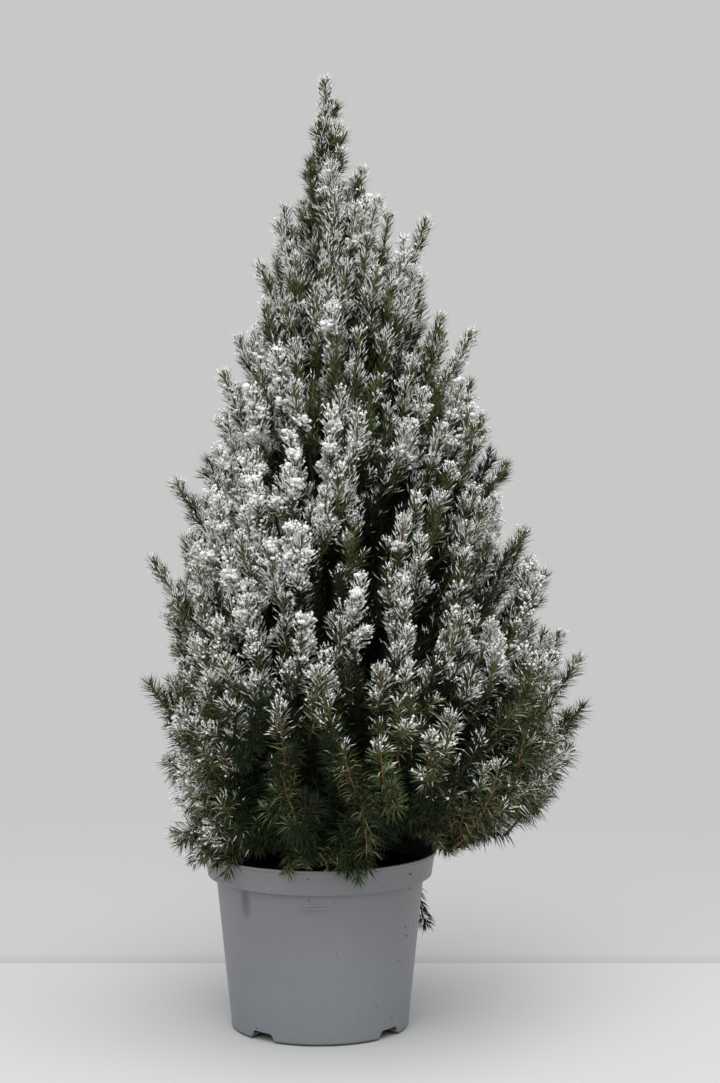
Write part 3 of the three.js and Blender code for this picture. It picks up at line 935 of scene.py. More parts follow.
def rounded(profile, arc=5):
    """A profile of (radius, z, rounding) corners as points: each rounded corner becomes an arc, drawn as
    a quadratic curve from its rounding before the corner to its rounding after it. On a long side one
    more point near the arc keeps the flat flat."""
    points = np.array([p[:2] for p in profile], float)
    out = [points[:1]]
    share = np.linspace(0, 1, arc)[:, None]
    for before, corner, after, size in zip(points, points[1:], points[2:], [p[2] for p in profile[1:]]):
        if size == 0:
            out.append(corner[None])
            continue
        start = corner + unit(before - corner) * size
        end = corner + unit(after - corner) * size
        if np.linalg.norm(before - corner) > 4 * size:
            out.append((corner + unit(before - corner) * size * 1.8)[None])
        out.append((1 - share) ** 2 * start + 2 * share * (1 - share) * corner + share**2 * end)
        if np.linalg.norm(after - corner) > 4 * size:
            out.append((corner + unit(after - corner) * size * 1.8)[None])
    out.append(points[-1:])
    return np.concatenate(out)


def lathe(profile, angles):
    """A profile turned round the Z axis. The corners are radius by angle: (r cos a, r sin a, z). The
    profile starts and ends on the axis, where its corners meet in one point."""
    radius = profile[1:-1, 0]
    z = profile[1:-1, 1]
    ring = point(radius[:, None] * np.cos(angles), radius[:, None] * np.sin(angles), z[:, None])
    ends = point(0, 0, profile[[0, -1], 1])
    columns = len(angles)
    faces = grid_faces(len(radius), columns)
    first = len(radius) * columns
    column = np.arange(columns)
    after = (column + 1) % columns
    last = (len(radius) - 1) * columns
    below = np.stack([np.full(columns, first), after, column], axis=1)
    above = np.stack([np.full(columns, first + 1), last + column, last + after], axis=1)
    return ring, ends, [faces, np.concatenate([below, above])]


def pot_profile(rim_radius, foot_radius):
    """The pot's section, from the middle of the underside out, up the wall and down its inside."""
    inner = POT.wall
    under_band = POT.band_bottom + POT.step
    seam = 31
    return rounded(
        (
            (0, 0, 0),
            (POT.centre_foot, 0, 0.8),
            (POT.centre_foot + POT.step, POT.floor_rise, 0.8),
            (POT.foot_ring, POT.floor_rise, 0.8),
            (POT.foot_ring + POT.step, 0, 0.8),
            (foot_radius, 0, 2.6),
            (wall_radius(seam - 1.5), seam - 1.5, 0),
            (wall_radius(seam - 1), seam - 1, 0),
            (wall_radius(seam) - 0.15, seam, 0),
            (wall_radius(seam + 1), seam + 1, 0),
            (wall_radius(seam + 1.5), seam + 1.5, 0),
            (wall_radius(under_band), under_band, 1.5),
            (POT.lip_radius, POT.band_bottom, 1.3),
            (POT.lip_radius + 0.6, POT.band_bottom + 6, 2.5),
            (rim_radius - 2, POT.height - 5, 2.5),
            (rim_radius, POT.height - 3.2, 1.2),
            (rim_radius, POT.height, 1.1),
            (rim_radius - POT.rim_lip, POT.height, 0.9),
            (rim_radius - 2 * POT.rim_lip - inner, POT.height - 9, 2),
            (POT.lip_radius - inner, POT.band_bottom + 6, 2),
            (wall_radius(POT.band_bottom) - inner, POT.band_bottom, 2),
            (wall_radius(8) - inner, POT.floor_rise + inner, 2),
            (0, POT.floor_rise + inner, 0),
        )
    )


def pot_angles():
    """Even angles round the pot, with narrow columns at its two mould lines."""
    even = TAU * np.arange(POT.columns) / POT.columns
    lines = np.radians([POT.mould_line, POT.mould_line + 180]) % TAU
    near = np.radians([-POT.mould_width, 0, POT.mould_width])
    close = (lines[:, None] + near).ravel() % TAU
    off = np.abs((even[:, None] - lines + math.pi) % TAU - math.pi).min(1)
    return np.sort(np.concatenate([even[off > np.radians(2 * POT.mould_width)], close])), lines


def notch_block(index):
    """A tapered block that cuts one drain notch in the foot of the wall."""
    x = np.array([-NOTCH.base_width, NOTCH.base_width, NOTCH.top_width, -NOTCH.top_width]) / 2
    z = np.array([-1, -1, NOTCH.height, NOTCH.height])
    near = POT.foot_radius + NOTCH.outside
    block = np.concatenate([point(x, -near, z), point(x, -near + NOTCH.depth, z)])
    turn = math.radians(NOTCH.first + 360 / NOTCH.count * index)
    x = block[:, 0] * math.cos(turn) - block[:, 1] * math.sin(turn)
    y = block[:, 0] * math.sin(turn) + block[:, 1] * math.cos(turn)
    faces = [(0, 1, 2, 3), (7, 6, 5, 4), (4, 5, 1, 0), (5, 6, 2, 1), (6, 7, 3, 2), (7, 4, 0, 3)]
    return point(x, y, block[:, 2]), np.array(faces)


def cut_notches(piece):
    """Takes the drain notches out of the pot with a Boolean, which is applied."""
    blocks = [notch_block(index) for index in range(NOTCH.count)]
    places = np.concatenate([b[0] for b in blocks])
    faces = np.concatenate([b[1] + 8 * i for i, b in enumerate(blocks)])
    cutter = add_mesh("notch_cutter", places, [faces], [], smooth=False)
    cut = piece.modifiers.new("notches", "BOOLEAN")
    cut.operation = "DIFFERENCE"
    cut.solver = "EXACT"
    cut.object = cutter
    shown = piece.evaluated_get(bpy.context.evaluated_depsgraph_get())
    piece.data = bpy.data.meshes.new_from_object(shown)
    piece.modifiers.clear()
    bpy.data.objects.remove(cutter)


def build_pot(settings):
    """The pot: its section turned round, raised a hair along the mould lines, notched at the foot."""
    angles, lines = pot_angles()
    profile = pot_profile(settings.rim_radius / MM, settings.foot_radius / MM)
    ring, ends, faces = lathe(profile, angles)
    on_line = np.abs(angles[:, None] - lines).min(1) < 1e-6
    row = np.arange(len(ring))
    outside = (row > 10) & (row < len(ring) * 0.6)
    raised = 1 + POT.mould_height / POT.rim_radius * (outside[:, None] & on_line)
    ring[..., :2] *= raised[..., None]
    places = np.concatenate([ring.reshape(-1, 3), ends])
    piece = add_mesh("pot_shell", places, faces, [pot_plastic(settings.colour)])
    cut_notches(piece)
    piece.data.set_sharp_from_angle(angle=math.radians(POT.sharp_angle))
    settle(piece, "pot_plastic", "pot")


def build_compost(settings):
    """The bed of compost, whose top is lumpy, and loose crumbs that lie on it."""
    look = compost_look(settings.compost_colour)
    edge = wall_radius(POT.band_bottom) - POT.wall - 0.6
    rows = np.linspace(0.985, 0.012, COMPOST.rings)
    top = np.stack([edge * rows, np.full(len(rows), COMPOST.edge)], axis=1)
    below = [(0, POT.floor_rise + 1.9), (POT.foot_ring, POT.floor_rise + 1.9), (wall_radius(11) - 2.2, 11),
             (edge, POT.band_bottom), (edge, COMPOST.edge - 3)]
    profile = np.concatenate([below, top, [(0, COMPOST.middle)]])
    angles = TAU * np.arange(COMPOST.columns) / COMPOST.columns
    ring, ends, faces = lathe(profile, angles)
    share = np.hypot(ring[4:, :, 0], ring[4:, :, 1]) / edge
    turn = np.broadcast_to(angles / TAU, share.shape)
    rough = lattice(turn, share, 46, 20, 11) + 0.6 * lattice(turn, share, 90, 40, 77)
    heap = (COMPOST.middle - COMPOST.edge) * (1 - share)
    ring[4:, :, 2] += heap + COMPOST.rough * (rough - 1.0) * step(1.0, 0.95, share)
    places = np.concatenate([ring.reshape(-1, 3), ends])
    bed = add_mesh("compost_bed", places, faces, [look])
    settle(bed, "compost", "compost")
    number = np.arange(COMPOST.crumbs)
    radius = (edge - 4) * np.sqrt(mix(0.06, 1, chance(number + 300)))
    angle = TAU * chance(number + 2000)
    size = mix(0.8, 3.0, chance(number + 4000) ** 3)
    middle = point(radius * np.cos(angle), radius * np.sin(angle), COMPOST.edge + 0.8 + 0.5 * size)
    along, across = (mix(0.7, 1.5, chance(number + seed)) for seed in (5000, 6000))
    stretch = point(along, across, 0.7)[:, None]
    places, faces = lumps(middle, size, stretch, 9000)
    crumbs = add_mesh("compost_crumbs", places, [faces], [look], smooth=False)
    settle(crumbs, "compost")


def build_specks(settings):
    """Crumbs of compost that cling to the front of the rim and the wall."""
    across = np.array([s[0] for s in SPECKS], float)
    up = np.array([s[1] for s in SPECKS], float)
    band = mix(POT.lip_radius, POT.rim_radius, step(POT.band_bottom + 4, POT.height - 4, up))
    radius = np.where(up > POT.band_bottom, band, wall_radius(up))
    middle = point(across, -np.sqrt(radius**2 - across**2), up)
    size = mix(0.4, 0.85, chance(np.arange(len(up)) + 40))
    places, faces = lumps(middle, size, (1.0, 1.0, 1.2), 123)
    look = compost_look(settings.compost_colour)
    specks = add_mesh("rim_specks", places, [faces], [look], smooth=False)
    settle(specks, "compost")


# The crown's rule


def half_width(z):
    """Above the widest height the half width falls by a power of the height, and below it tucks in."""
    above = (np.maximum(z - CROWN.widest, 0) / CROWN.fall_height) ** CROWN.fall_power
    below = CROWN.tuck_share * (np.maximum(CROWN.widest - z, 0) / CROWN.tuck_height) ** CROWN.tuck_power
    return CROWN.half_width * (1 - above - below)


def reach(angle, z):
    """How far the crown reaches from its axis in one direction at one height: the half width, and more on
    the right than on the left by the angle's cosine, up to where that fades out."""
    fade = step(CROWN.side_end, CROWN.side_end - CROWN.side_fade, z)
    return half_width(z) + CROWN.side_reach * fade * np.cos(angle)


def around(angle, radius, z):
    """Points at an angle and a radius round the crown's axis."""
    return point(CROWN.axis + radius * np.cos(angle), radius * np.sin(angle), z)


def cone_at(level, radius):
    """The height of the cone over a tier at a radius."""
    return TIERS[level].cone_foot + TIERS[level].cone_slope * radius


def height_in(level, radius, share):
    """The height at a share of a tier's thickness, 0 on its lower cone and 1 on its upper one."""
    low = CROWN.underside if level == 0 else cone_at(level - 1, radius)
    return mix(low, cone_at(level, radius), share)


def angle_between(a, b):
    """The turn from b to a, within half a turn to either side."""
    return np.arctan2(np.sin(a - b), np.cos(a - b))


def outline_radius(level, angle, share):
    """Where a line at an angle and a share of a tier's thickness meets the outline, by halving."""
    inner = np.zeros(np.shape(angle))
    outer = np.full(np.shape(angle), 2.0 * CROWN.half_width)
    for _ in range(HALVINGS):
        radius = (inner + outer) / 2
        within = reach(angle, height_in(level, radius, share)) > radius
        inner = np.where(within, radius, inner)
        outer = np.where(within, outer, radius)
    return inner


def masses():
    """Every mass of foliage: its tier, its number in the tier, its middle angle and its seed."""
    found = []
    for level, row in enumerate(TIERS):
        for index in range(row.masses):
            angle = TAU / row.masses * (index + row.turn)
            name = f"foliage_{level + 1}_{index + 1}"
            seed = 100 * (level + 1) + 10 * index
            found.append(SimpleNamespace(level=level, index=index, angle=angle, seed=seed, name=name))
    return found


MASSES = masses()


def mass_round(place):
    """The mass whose space holds a point: the first tier whose cone is above it, and its nearest angle."""
    x = place[0] - CROWN.axis
    radius = math.hypot(x, place[1])
    levels = [level for level in range(len(TIERS)) if cone_at(level, radius) > place[2]]
    level = levels[0] if levels else len(TIERS) - 1
    turn = math.atan2(place[1], x)
    near = [m for m in MASSES if m.level == level]
    return min(near, key=lambda m: abs(angle_between(turn, m.angle)))


def trunk_at(z):
    """The trunk's middle at each height: its points' x and y joined by smooth cubic steps."""
    line = np.array(TRUNK.line, float)
    heights = line[:, 2]
    slope = np.gradient(line[:, :2], heights, axis=0)
    z = np.asarray(z, float)
    piece = np.clip(np.searchsorted(heights, z) - 1, 0, len(heights) - 2)
    span = heights[piece + 1] - heights[piece]
    t = ((z - heights[piece]) / span)[..., None]
    leave = t**3 - 2 * t**2 + t
    arrive = t**3 - t**2
    start = (2 * t**3 - 3 * t**2 + 1) * line[piece, :2] + leave * span[..., None] * slope[piece]
    end = (3 * t**2 - 2 * t**3) * line[piece + 1, :2] + arrive * span[..., None] * slope[piece + 1]
    return np.concatenate([start + end, z[..., None]], axis=-1)


def hub_of(mass):
    """Where a mass's bough ends and its inner limbs begin."""
    radius = TIERS[mass.level].hub_radius
    return around(mass.angle, radius, height_in(mass.level, radius, HUB_SHARE))


def bough_curves(chosen):
    """One curve for each mass, from the trunk to the hub where its foliage begins."""
    start = np.stack([trunk_at(TIERS[m.level].bough_from + m.index % 2 * BOUGH.stagger) for m in chosen])
    hub = np.stack([hub_of(m) for m in chosen])
    bend = (start + hub) / 2 + down(BOUGH.sag * np.linalg.norm(hub - start, axis=1))
    return Curves(start, bend, hub)


def from_gap(x, y):
    """How far places lie from the middle of the open compost, 1 on the edge of its oval."""
    return np.hypot((x - RIM_GAP.x) / RIM_GAP.half_width, (y - RIM_GAP.y) / RIM_GAP.half_depth)


def lifted(places):
    """Places raised clear of the rim in front, and more so over the open compost at the front right."""
    x, y, z = places.T
    front = step(0, -60, y) * step(150, 112, np.hypot(x, y))
    gap = step(1.5, 0.8, from_gap(x, y))
    lift = np.maximum(RIM_GAP.front_lift * front, RIM_GAP.lift * gap) * step(270, 190, z)
    return places - down(lift)


def in_the_open(places):
    """Whether places lie where no foliage does: over the open compost, or low along the rim in front."""
    x, y, z = places.T
    gap = from_gap(x, y) < 1
    strip = (y < RIM_STRIP.front) & (np.hypot(x, y) > RIM_STRIP.inner_radius)
    return (gap & (z < RIM_GAP.top)) | (strip & (z < RIM_STRIP.top))


def hollow(turn, z):
    """How much of a hollow the crown's outside has at an angle and a height, from 0 to 1."""
    dips = lattice(turn / TAU + 0.5, z / CROWN.top, HOLLOW.columns, HOLLOW.rows, HOLLOW.seed)
    return step(0.5, 0.85, dips)


def shoots_to(mass, tips, layer, form=SHOOT):
    """Main shoots from inside the mass to these tips. They rise as steeply as their tier's cone or more
    and lean a little aside by chance, most in the low tiers, but no root is lower than the rim. They lead
    outwards first and then upwards: the bend lies at one share of the way out and at a lesser share of the
    way up."""
    x = tips[:, 0] - CROWN.axis
    tip_radius = np.hypot(x, tips[:, 1])
    turn = mass.angle + layer.fanning * angle_between(np.arctan2(tips[:, 1], x), mass.angle)
    slope = max(form.steepness, TIERS[mass.level].cone_slope)
    stray = SHOOT.stray * (SHOOT.low_stray if mass.level < LOW_TIERS else 1)
    turn = turn + stray * (chance(tips[:, 0] - tips[:, 2]) - 0.5)
    length = SHOOT.length * mix(0.78, 1.22, chance(tips[:, 0] + tips[:, 2]))
    length = length * (SHOOT.high_tiers if mass.level >= HIGH_TIERS else 1)
    most_rise = length * slope / math.hypot(1, slope)
    rise = np.clip(tips[:, 2] - SHOOT.lowest_root, SHOOT.lowest_rise, most_rise)
    run = np.sqrt(length**2 - rise**2)
    root = lifted(around(turn, np.maximum(tip_radius - run, 0.2 * tip_radius), tips[:, 2] - rise))
    tip = lifted(tips - unit(tips - root) * SHOOT.end_needles)
    bend = root + (tip - root) * (form.bend_out, form.bend_out, form.bend_up)
    return Curves(root, bend, tip)


def patch_area(mass):
    """The area of the outline that a mass covers: its slant height by its mean width."""
    share = np.array([0.02, 0.98])
    radius = outline_radius(mass.level, np.full(2, mass.angle), share)
    z = height_in(mass.level, radius, share)
    slant = math.hypot(radius[1] - radius[0], z[1] - z[0])
    return slant * radius.mean() * TAU / TIERS[mass.level].masses


def layer_tips(mass, layer):
    """Tips spread over a mass's part of the outline. Each strays a little from its even place and is set
    in from the outline by chance: further in at a hollow, low on the left and at the foot on the right."""
    spacing = layer.spacing * (HIGH_TIER_SPACING if mass.level >= HIGH_TIERS else 1)
    count = max(3, round(patch_area(mass) / spacing**2))
    k = np.arange(count)
    seed = mass.seed + layer.seed
    stray = (TIP_STRAY.low if mass.level < LOW_TIERS else TIP_STRAY.rest) / math.sqrt(count)
    across = k * GOLDEN_SHARE + chance(seed) + stray * (chance(seed + 5 * k + 2) - 0.5)
    turn = mass.angle + TAU / TIERS[mass.level].masses * (across % 1 - 0.5)
    share = (k + 0.5) / count + stray * (chance(seed + 7 * k + 4) - 0.5)
    share = mix(0.03, 0.97, np.clip(share, 0, 1))
    back = mix(layer.nearest, layer.furthest, chance(seed + 3 * k + 1))
    outer = outline_radius(mass.level, turn, share)
    z = height_in(mass.level, outer, share)
    back = back + HOLLOW.depth * hollow(turn, z)
    back = back + TUCK.left * step(0.4, 1, -np.cos(turn)) * step(480, 400, z)
    back = back + TUCK.low_right * step(0.4, 1, np.cos(turn)) * step(290, 200, z)
    radius = outer * (1 - back)
    return around(turn, radius, height_in(mass.level, radius, share))


def leading_tips():
    """The leading shoots' tips, a little before or behind the crown's widest section."""
    k = np.arange(len(LEADING_TIPS))
    x, z = np.array(LEADING_TIPS, float).T
    return point(x, LEADING_DEPTH * (chance(900 + k) - 0.5), z)


def leader_curves():
    """The leader's own shoot, and the shoots that stand round it."""
    angle, radius, z, length = np.array(LEADER_SHOOTS, float).T
    angle = np.radians(angle)
    away = point(np.cos(angle), np.sin(angle), 0)
    tip = around(angle, radius, z)
    root = trunk_at(z - length) + away * (LEADER.root_share * radius)[:, None]
    bend = (root + tip) / 2 + away * LEADER.bulge
    beside = Curves(root, bend, tip + down(SHOOT.end_needles))
    low = trunk_at(np.array([LEADER.bottom]))
    top = point([LEADER.tip_x], 0, CROWN.top - SHOOT.end_needles)
    return chained([Curves(low, (low + top) / 2, top), beside])


def rim_curves():
    """Sprigs that grow out over the front of the rim, and the one that droops behind the pot."""
    tip = np.array(RIM_SPRIGS, float)
    across, along = tip.T[:2]
    root = point(across * RIM_SHOOT.root_share, along * RIM_SHOOT.root_share, RIM_SHOOT.root_z)
    bend = point(across * RIM_SHOOT.bend_share, along * RIM_SHOOT.bend_share, RIM_SHOOT.bend_z)
    droop = Curves(*(np.array([p], float) for p in DROOPING_SPRIG))
    return Curves(root, bend, tip), droop


def side_shoots(parents, spread, longest, apart):
    """Side shoots set round each parent at the golden turn. One leaves at its spread angle, bends back
    towards its parent's heading and rises a little, and is shorter towards the parent's tip."""
    length = parents.length()
    count = np.maximum(1, np.round((SIDE.last - SIDE.first) * length / apart)).astype(int)
    owner = np.repeat(np.arange(len(parents)), count)
    k = np.arange(len(owner)) - np.repeat(np.cumsum(count) - count, count)
    seed = owner * 17 + k * 3
    share = mix(SIDE.first, SIDE.last, (k + chance(seed + 5)) / count[owner])
    root = parents.place(owner, share)
    heading = parents.heading(owner, share)
    normal = parents.normal[owner]
    turn = k * GOLDEN_TURN + TAU * chance(owner + 31)
    out = np.cos(turn)[:, None] * normal + np.sin(turn)[:, None] * np.cross(heading, normal)
    angle = spread[owner] * mix(0.8, 1.2, chance(seed + 6))
    size = mix(longest[owner], SIDE.shortest, share**1.3) * mix(0.75, 1.2, chance(seed + 7))
    first = unit(heading * np.cos(angle)[:, None] + out * np.sin(angle)[:, None])
    turned = angle * SIDE.bend_back
    later = heading * np.cos(turned)[:, None] + out * np.sin(turned)[:, None]
    later = unit(later + (0, 0, SIDE.lift))
    bend = root + first * (size * 0.5)[:, None]
    return Curves(root, bend, bend + later * (size * 0.5)[:, None]), owner


@lru_cache(maxsize=1)
def grown_crown():
    """All sprays of the crown as curves, with the facts that needles and twigs need. Rank 0 is an inner
    limb, 1 a main shoot and 2 a side shoot. Home is the number of the mass that a spray grows on, main the
    number of its main shoot, and depth its layer, the outermost 0. Sprig, leading and top mark the sprigs
    at the rim, the leading shoots and the leader's."""
    mains = []
    homes = []
    hubs = []
    behind = []
    leads = []
    for number, mass in enumerate(MASSES):
        tips = [(layer_tips(mass, layer), depth, False) for depth, layer in enumerate(LAYERS)]
        leading = np.array([t for t in leading_tips() if mass_round(t) is mass]).reshape(-1, 3)
        tips.append((leading, 0, True))
        for found, depth, is_leading in tips:
            if not len(found):
                continue
            mains.append(shoots_to(mass, found, LAYERS[depth], LEADING if is_leading else SHOOT))
            homes.append(np.full(len(found), number))
            hubs.append(np.broadcast_to(hub_of(mass), (len(found), 3)))
            behind.append(np.full(len(found), depth))
            leads.append(np.full(len(found), is_leading))
    inner_root = np.concatenate(hubs)
    inner_tip = chained(mains).root
    middle = mix(inner_root, inner_tip, INNER.bend) + down(np.full(len(inner_root), INNER.sag))
    inner = Curves(inner_root, middle, inner_tip)
    leader = leader_curves()
    rim, droop = rim_curves()
    extra = [leader, rim, droop]
    extra_home = [len(MASSES)] * len(leader)
    extra_home += [MASSES.index(mass_round(t)) for t in np.concatenate([rim.tip, droop.root])]
    shoots = chained(mains + extra)
    home = np.concatenate(homes + [extra_home]).astype(int)
    depth = np.concatenate(behind + [np.zeros(len(extra_home), int)])
    leads = np.concatenate(leads + [np.zeros(len(extra_home), bool)])
    high = step(NEEDLE.low_z, 640, shoots.tip[:, 2])
    spread = np.radians(mix(SIDE.low_spread, SIDE.high_spread, high))
    number = np.arange(len(shoots))
    longest = mix(SIDE.longest, 0.7 * SIDE.longest, high) * mix(0.6, 1.35, chance(number * 5 + 77))
    slim = number >= len(shoots) - len(rim) - len(droop)
    of_leader = (number >= len(shoots) - len(extra_home)) & ~slim
    longest = np.where(slim, 0.5 * longest, longest)
    spread = np.where(of_leader, np.radians(LEADER.side_spread), spread)
    longest = np.where(of_leader, longest * mix(1, 0.6, step(*LEADER_NARROWS, shoots.tip[:, 2])), longest)
    apart = SIDE.apart * np.array(SIDE.wider_behind)[depth]
    apart = np.where(of_leader, LEADER.side_apart, apart)
    sides, owner = side_shoots(shoots, spread, longest, apart)
    bare = (sides.root[:, 1] > 0) & (sides.root[:, 2] > DROOP_TOP)
    kept = np.where(slim[owner], ~bare, ~(in_the_open(sides.tip) | in_the_open(sides.bend)))
    sides = sides.pick(kept)
    owner = owner[kept]
    curves = chained([inner, shoots, sides])
    rank = np.repeat([0, 1, 2], [len(inner), len(shoots), len(sides)])
    first_home = np.concatenate(homes).astype(int)
    return SimpleNamespace(
        curves=curves,
        rank=rank,
        home=np.concatenate([first_home, home, home[owner]]),
        main=np.concatenate([np.arange(len(inner)), np.arange(len(shoots)), owner]),
        depth=np.concatenate([depth[: len(inner)], depth, depth[owner]]),
        sprig=np.concatenate([np.zeros(len(inner), bool), slim, slim[owner]]),
        leading=np.concatenate([np.zeros(len(inner), bool), leads, leads[owner]]),
        top=np.concatenate([np.zeros(len(inner), bool), of_leader, of_leader[owner]]),
    )


def in_patch(patch, places):
    """How deep in a soft patch places lie, from 0 to 1: a bell round its middle in x and z."""
    x, y, z = places.T
    bell = np.exp(-(((x - patch.x) / patch.reach_x) ** 2 + ((z - patch.z) / patch.reach_z) ** 2))
    edge = SNOW.side_fade * patch.side
    return bell * step(-edge, edge, y) if edge else bell


def snow_on(crown):
    """How much snow lies on each spray, from 0 to 1. It begins lower at both sides and higher in front,
    grows upwards, is heavier in the patches, above all left of the middle in front, and differs from spray
    to spray. The leader and the leading shoots carry less, and so do hollows and the second layer of
    shoots, above all on the right. Inner limbs and the third layer carry none."""
    tip = crown.curves.tip
    x, y, z = tip.T
    angle = np.arctan2(y, x - CROWN.axis)
    start = SNOW.start - SNOW.lower_left * step(0.2, 1.0, -np.cos(angle))
    start = start - SNOW.lower_right * step(0.3, 1.0, np.cos(angle))
    start = start + SNOW.higher_front * step(0.3, 1.0, -np.sin(angle))
    amount = SNOW.dusting * step(start - SNOW.fade_below, start + SNOW.fade_above, z)
    amount = amount + SNOW.upper * step(500, 760, z)
    front = in_patch(FRONT_PATCH, tip)
    amount = amount + FRONT_PATCH.gain * front
    for patch in OTHER_PATCHES:
        amount = amount + patch.gain * in_patch(patch, tip)
    drift = lattice(angle / TAU + 0.5, z / CROWN.top, DRIFT.columns, DRIFT.rows, DRIFT.seed)
    amount = amount * mix(DRIFT.least, DRIFT.most, step(0.2, 0.8, drift))
    by_main = mix(0.1, 1.85, chance(crown.main * 7 + 3))
    own = chance(np.arange(len(x)) + 0.5) - 0.5
    amount = amount * (1 + 0.45 * step(20, 80, x)) * (by_main + 0.4 * own)
    on_leading = mix(0.7, 0.5, step(0, 60, x))
    on_leader = mix(0.75, 0.45, step(840, 900, z))
    amount = np.where(crown.rank == 0, 0, amount) * np.where(crown.leading, on_leading, 1)
    amount = amount * np.where(crown.top, on_leader, 1)
    on_second = mix(0.4, 0.12, step(40, 110, x)) + 0.4 * front
    by_layer = np.choose(crown.depth, (1, on_second, 0))
    amount = amount * by_layer * (1 - 0.7 * (1 - front) * hollow(angle, z))
    return np.clip(amount, 0, 1)


# Shade green is painted shade, deep green partly old needles and partly painted shade, and pale and straw
# green painted highlights.
GREENS = ("shade", "deep", "green", "olive", "fresh", "pale", "straw")


def tint_of(crown):
    """Which of the greens each spray has. Olive is commonest low on the right. Fresh green is found at the
    foot, on the sprigs in front on the right and on leading tips on the right. Deep green is painted shade
    in hollows, the low middle, the layers behind and the sprig behind the pot, less so high up left of the
    middle. The shade green, also painted shade, goes to inner limbs and many shoots behind, most on the
    right."""
    x, y, z = crown.curves.tip.T
    pick = chance(crown.main * 11 + 8)
    low = step(400, 230, z)
    right = low * step(20, 120, x)
    olive = pick < 0.25 + 0.6 * right
    fresh = pick > 1 - 0.3 * low * step(150, 30, np.abs(x)) - 0.04
    fresh = fresh | (crown.leading & (x > 40) & (z > 380) & (pick > 0.4))
    airy = step(300, 400, z) * step(110, 40, x)
    # Sprays of the layers behind, of hollows and of the low middle get deep green as painted shade.
    behind = (crown.depth > 0) & (chance(crown.main * 3 + 6) > 0.55 * airy)
    dips = hollow(np.arctan2(y, x - CROWN.axis), z) * (1 - 0.45 * airy)
    middle = step(120, 60, np.abs(x - 30)) * step(430, 370, z) * step(240, 280, z)
    painted_shade_sprays = behind | (dips > pick + 0.6 * right) | (chance(crown.main * 5 + 2) < 0.4 * middle)
    painted_shade_sprays = painted_shade_sprays & ~crown.leading & ~crown.top
    tint = np.where(olive, GREENS.index("olive"), GREENS.index("green"))
    tint = np.where(fresh & ~crown.sprig, GREENS.index("fresh"), tint)
    tint = np.where(painted_shade_sprays & ~crown.sprig, GREENS.index("deep"), tint)
    tint = np.where(crown.sprig & (y < -100) & (x > 0), GREENS.index("fresh"), tint)
    # The sprig that droops behind the pot has deep green as painted shade.
    tint = np.where(crown.sprig & (y > 0), GREENS.index("deep"), tint)
    # The shade green is painted shade, given to inner limbs and to a share of each layer behind, more on
    # the right.
    by_side = mix(0.45, 1.7, step(20, 100, x))
    shaded = np.array(NEEDLE.shaded)[crown.depth] * mix(1, by_side, step(260, 360, z))
    return np.where((crown.rank == 0) | (pick > 1 - shaded), GREENS.index("shade"), tint)


# Needles, twigs and snow


def clumps(places, size):
    """A smooth pattern in space from 0 to 1: three sine waves along x, y and z, each bent by another."""
    x, y, z = (places / size).T
    first = np.sin(2.1 * x + 1.7 * np.sin(1.3 * z + 0.5))
    second = np.sin(2.3 * y + 1.5 * np.sin(1.1 * x + 2.0))
    third = np.sin(1.9 * z + 1.6 * np.sin(1.2 * y + 4.0))
    return 0.5 + (first + second + third) / 6


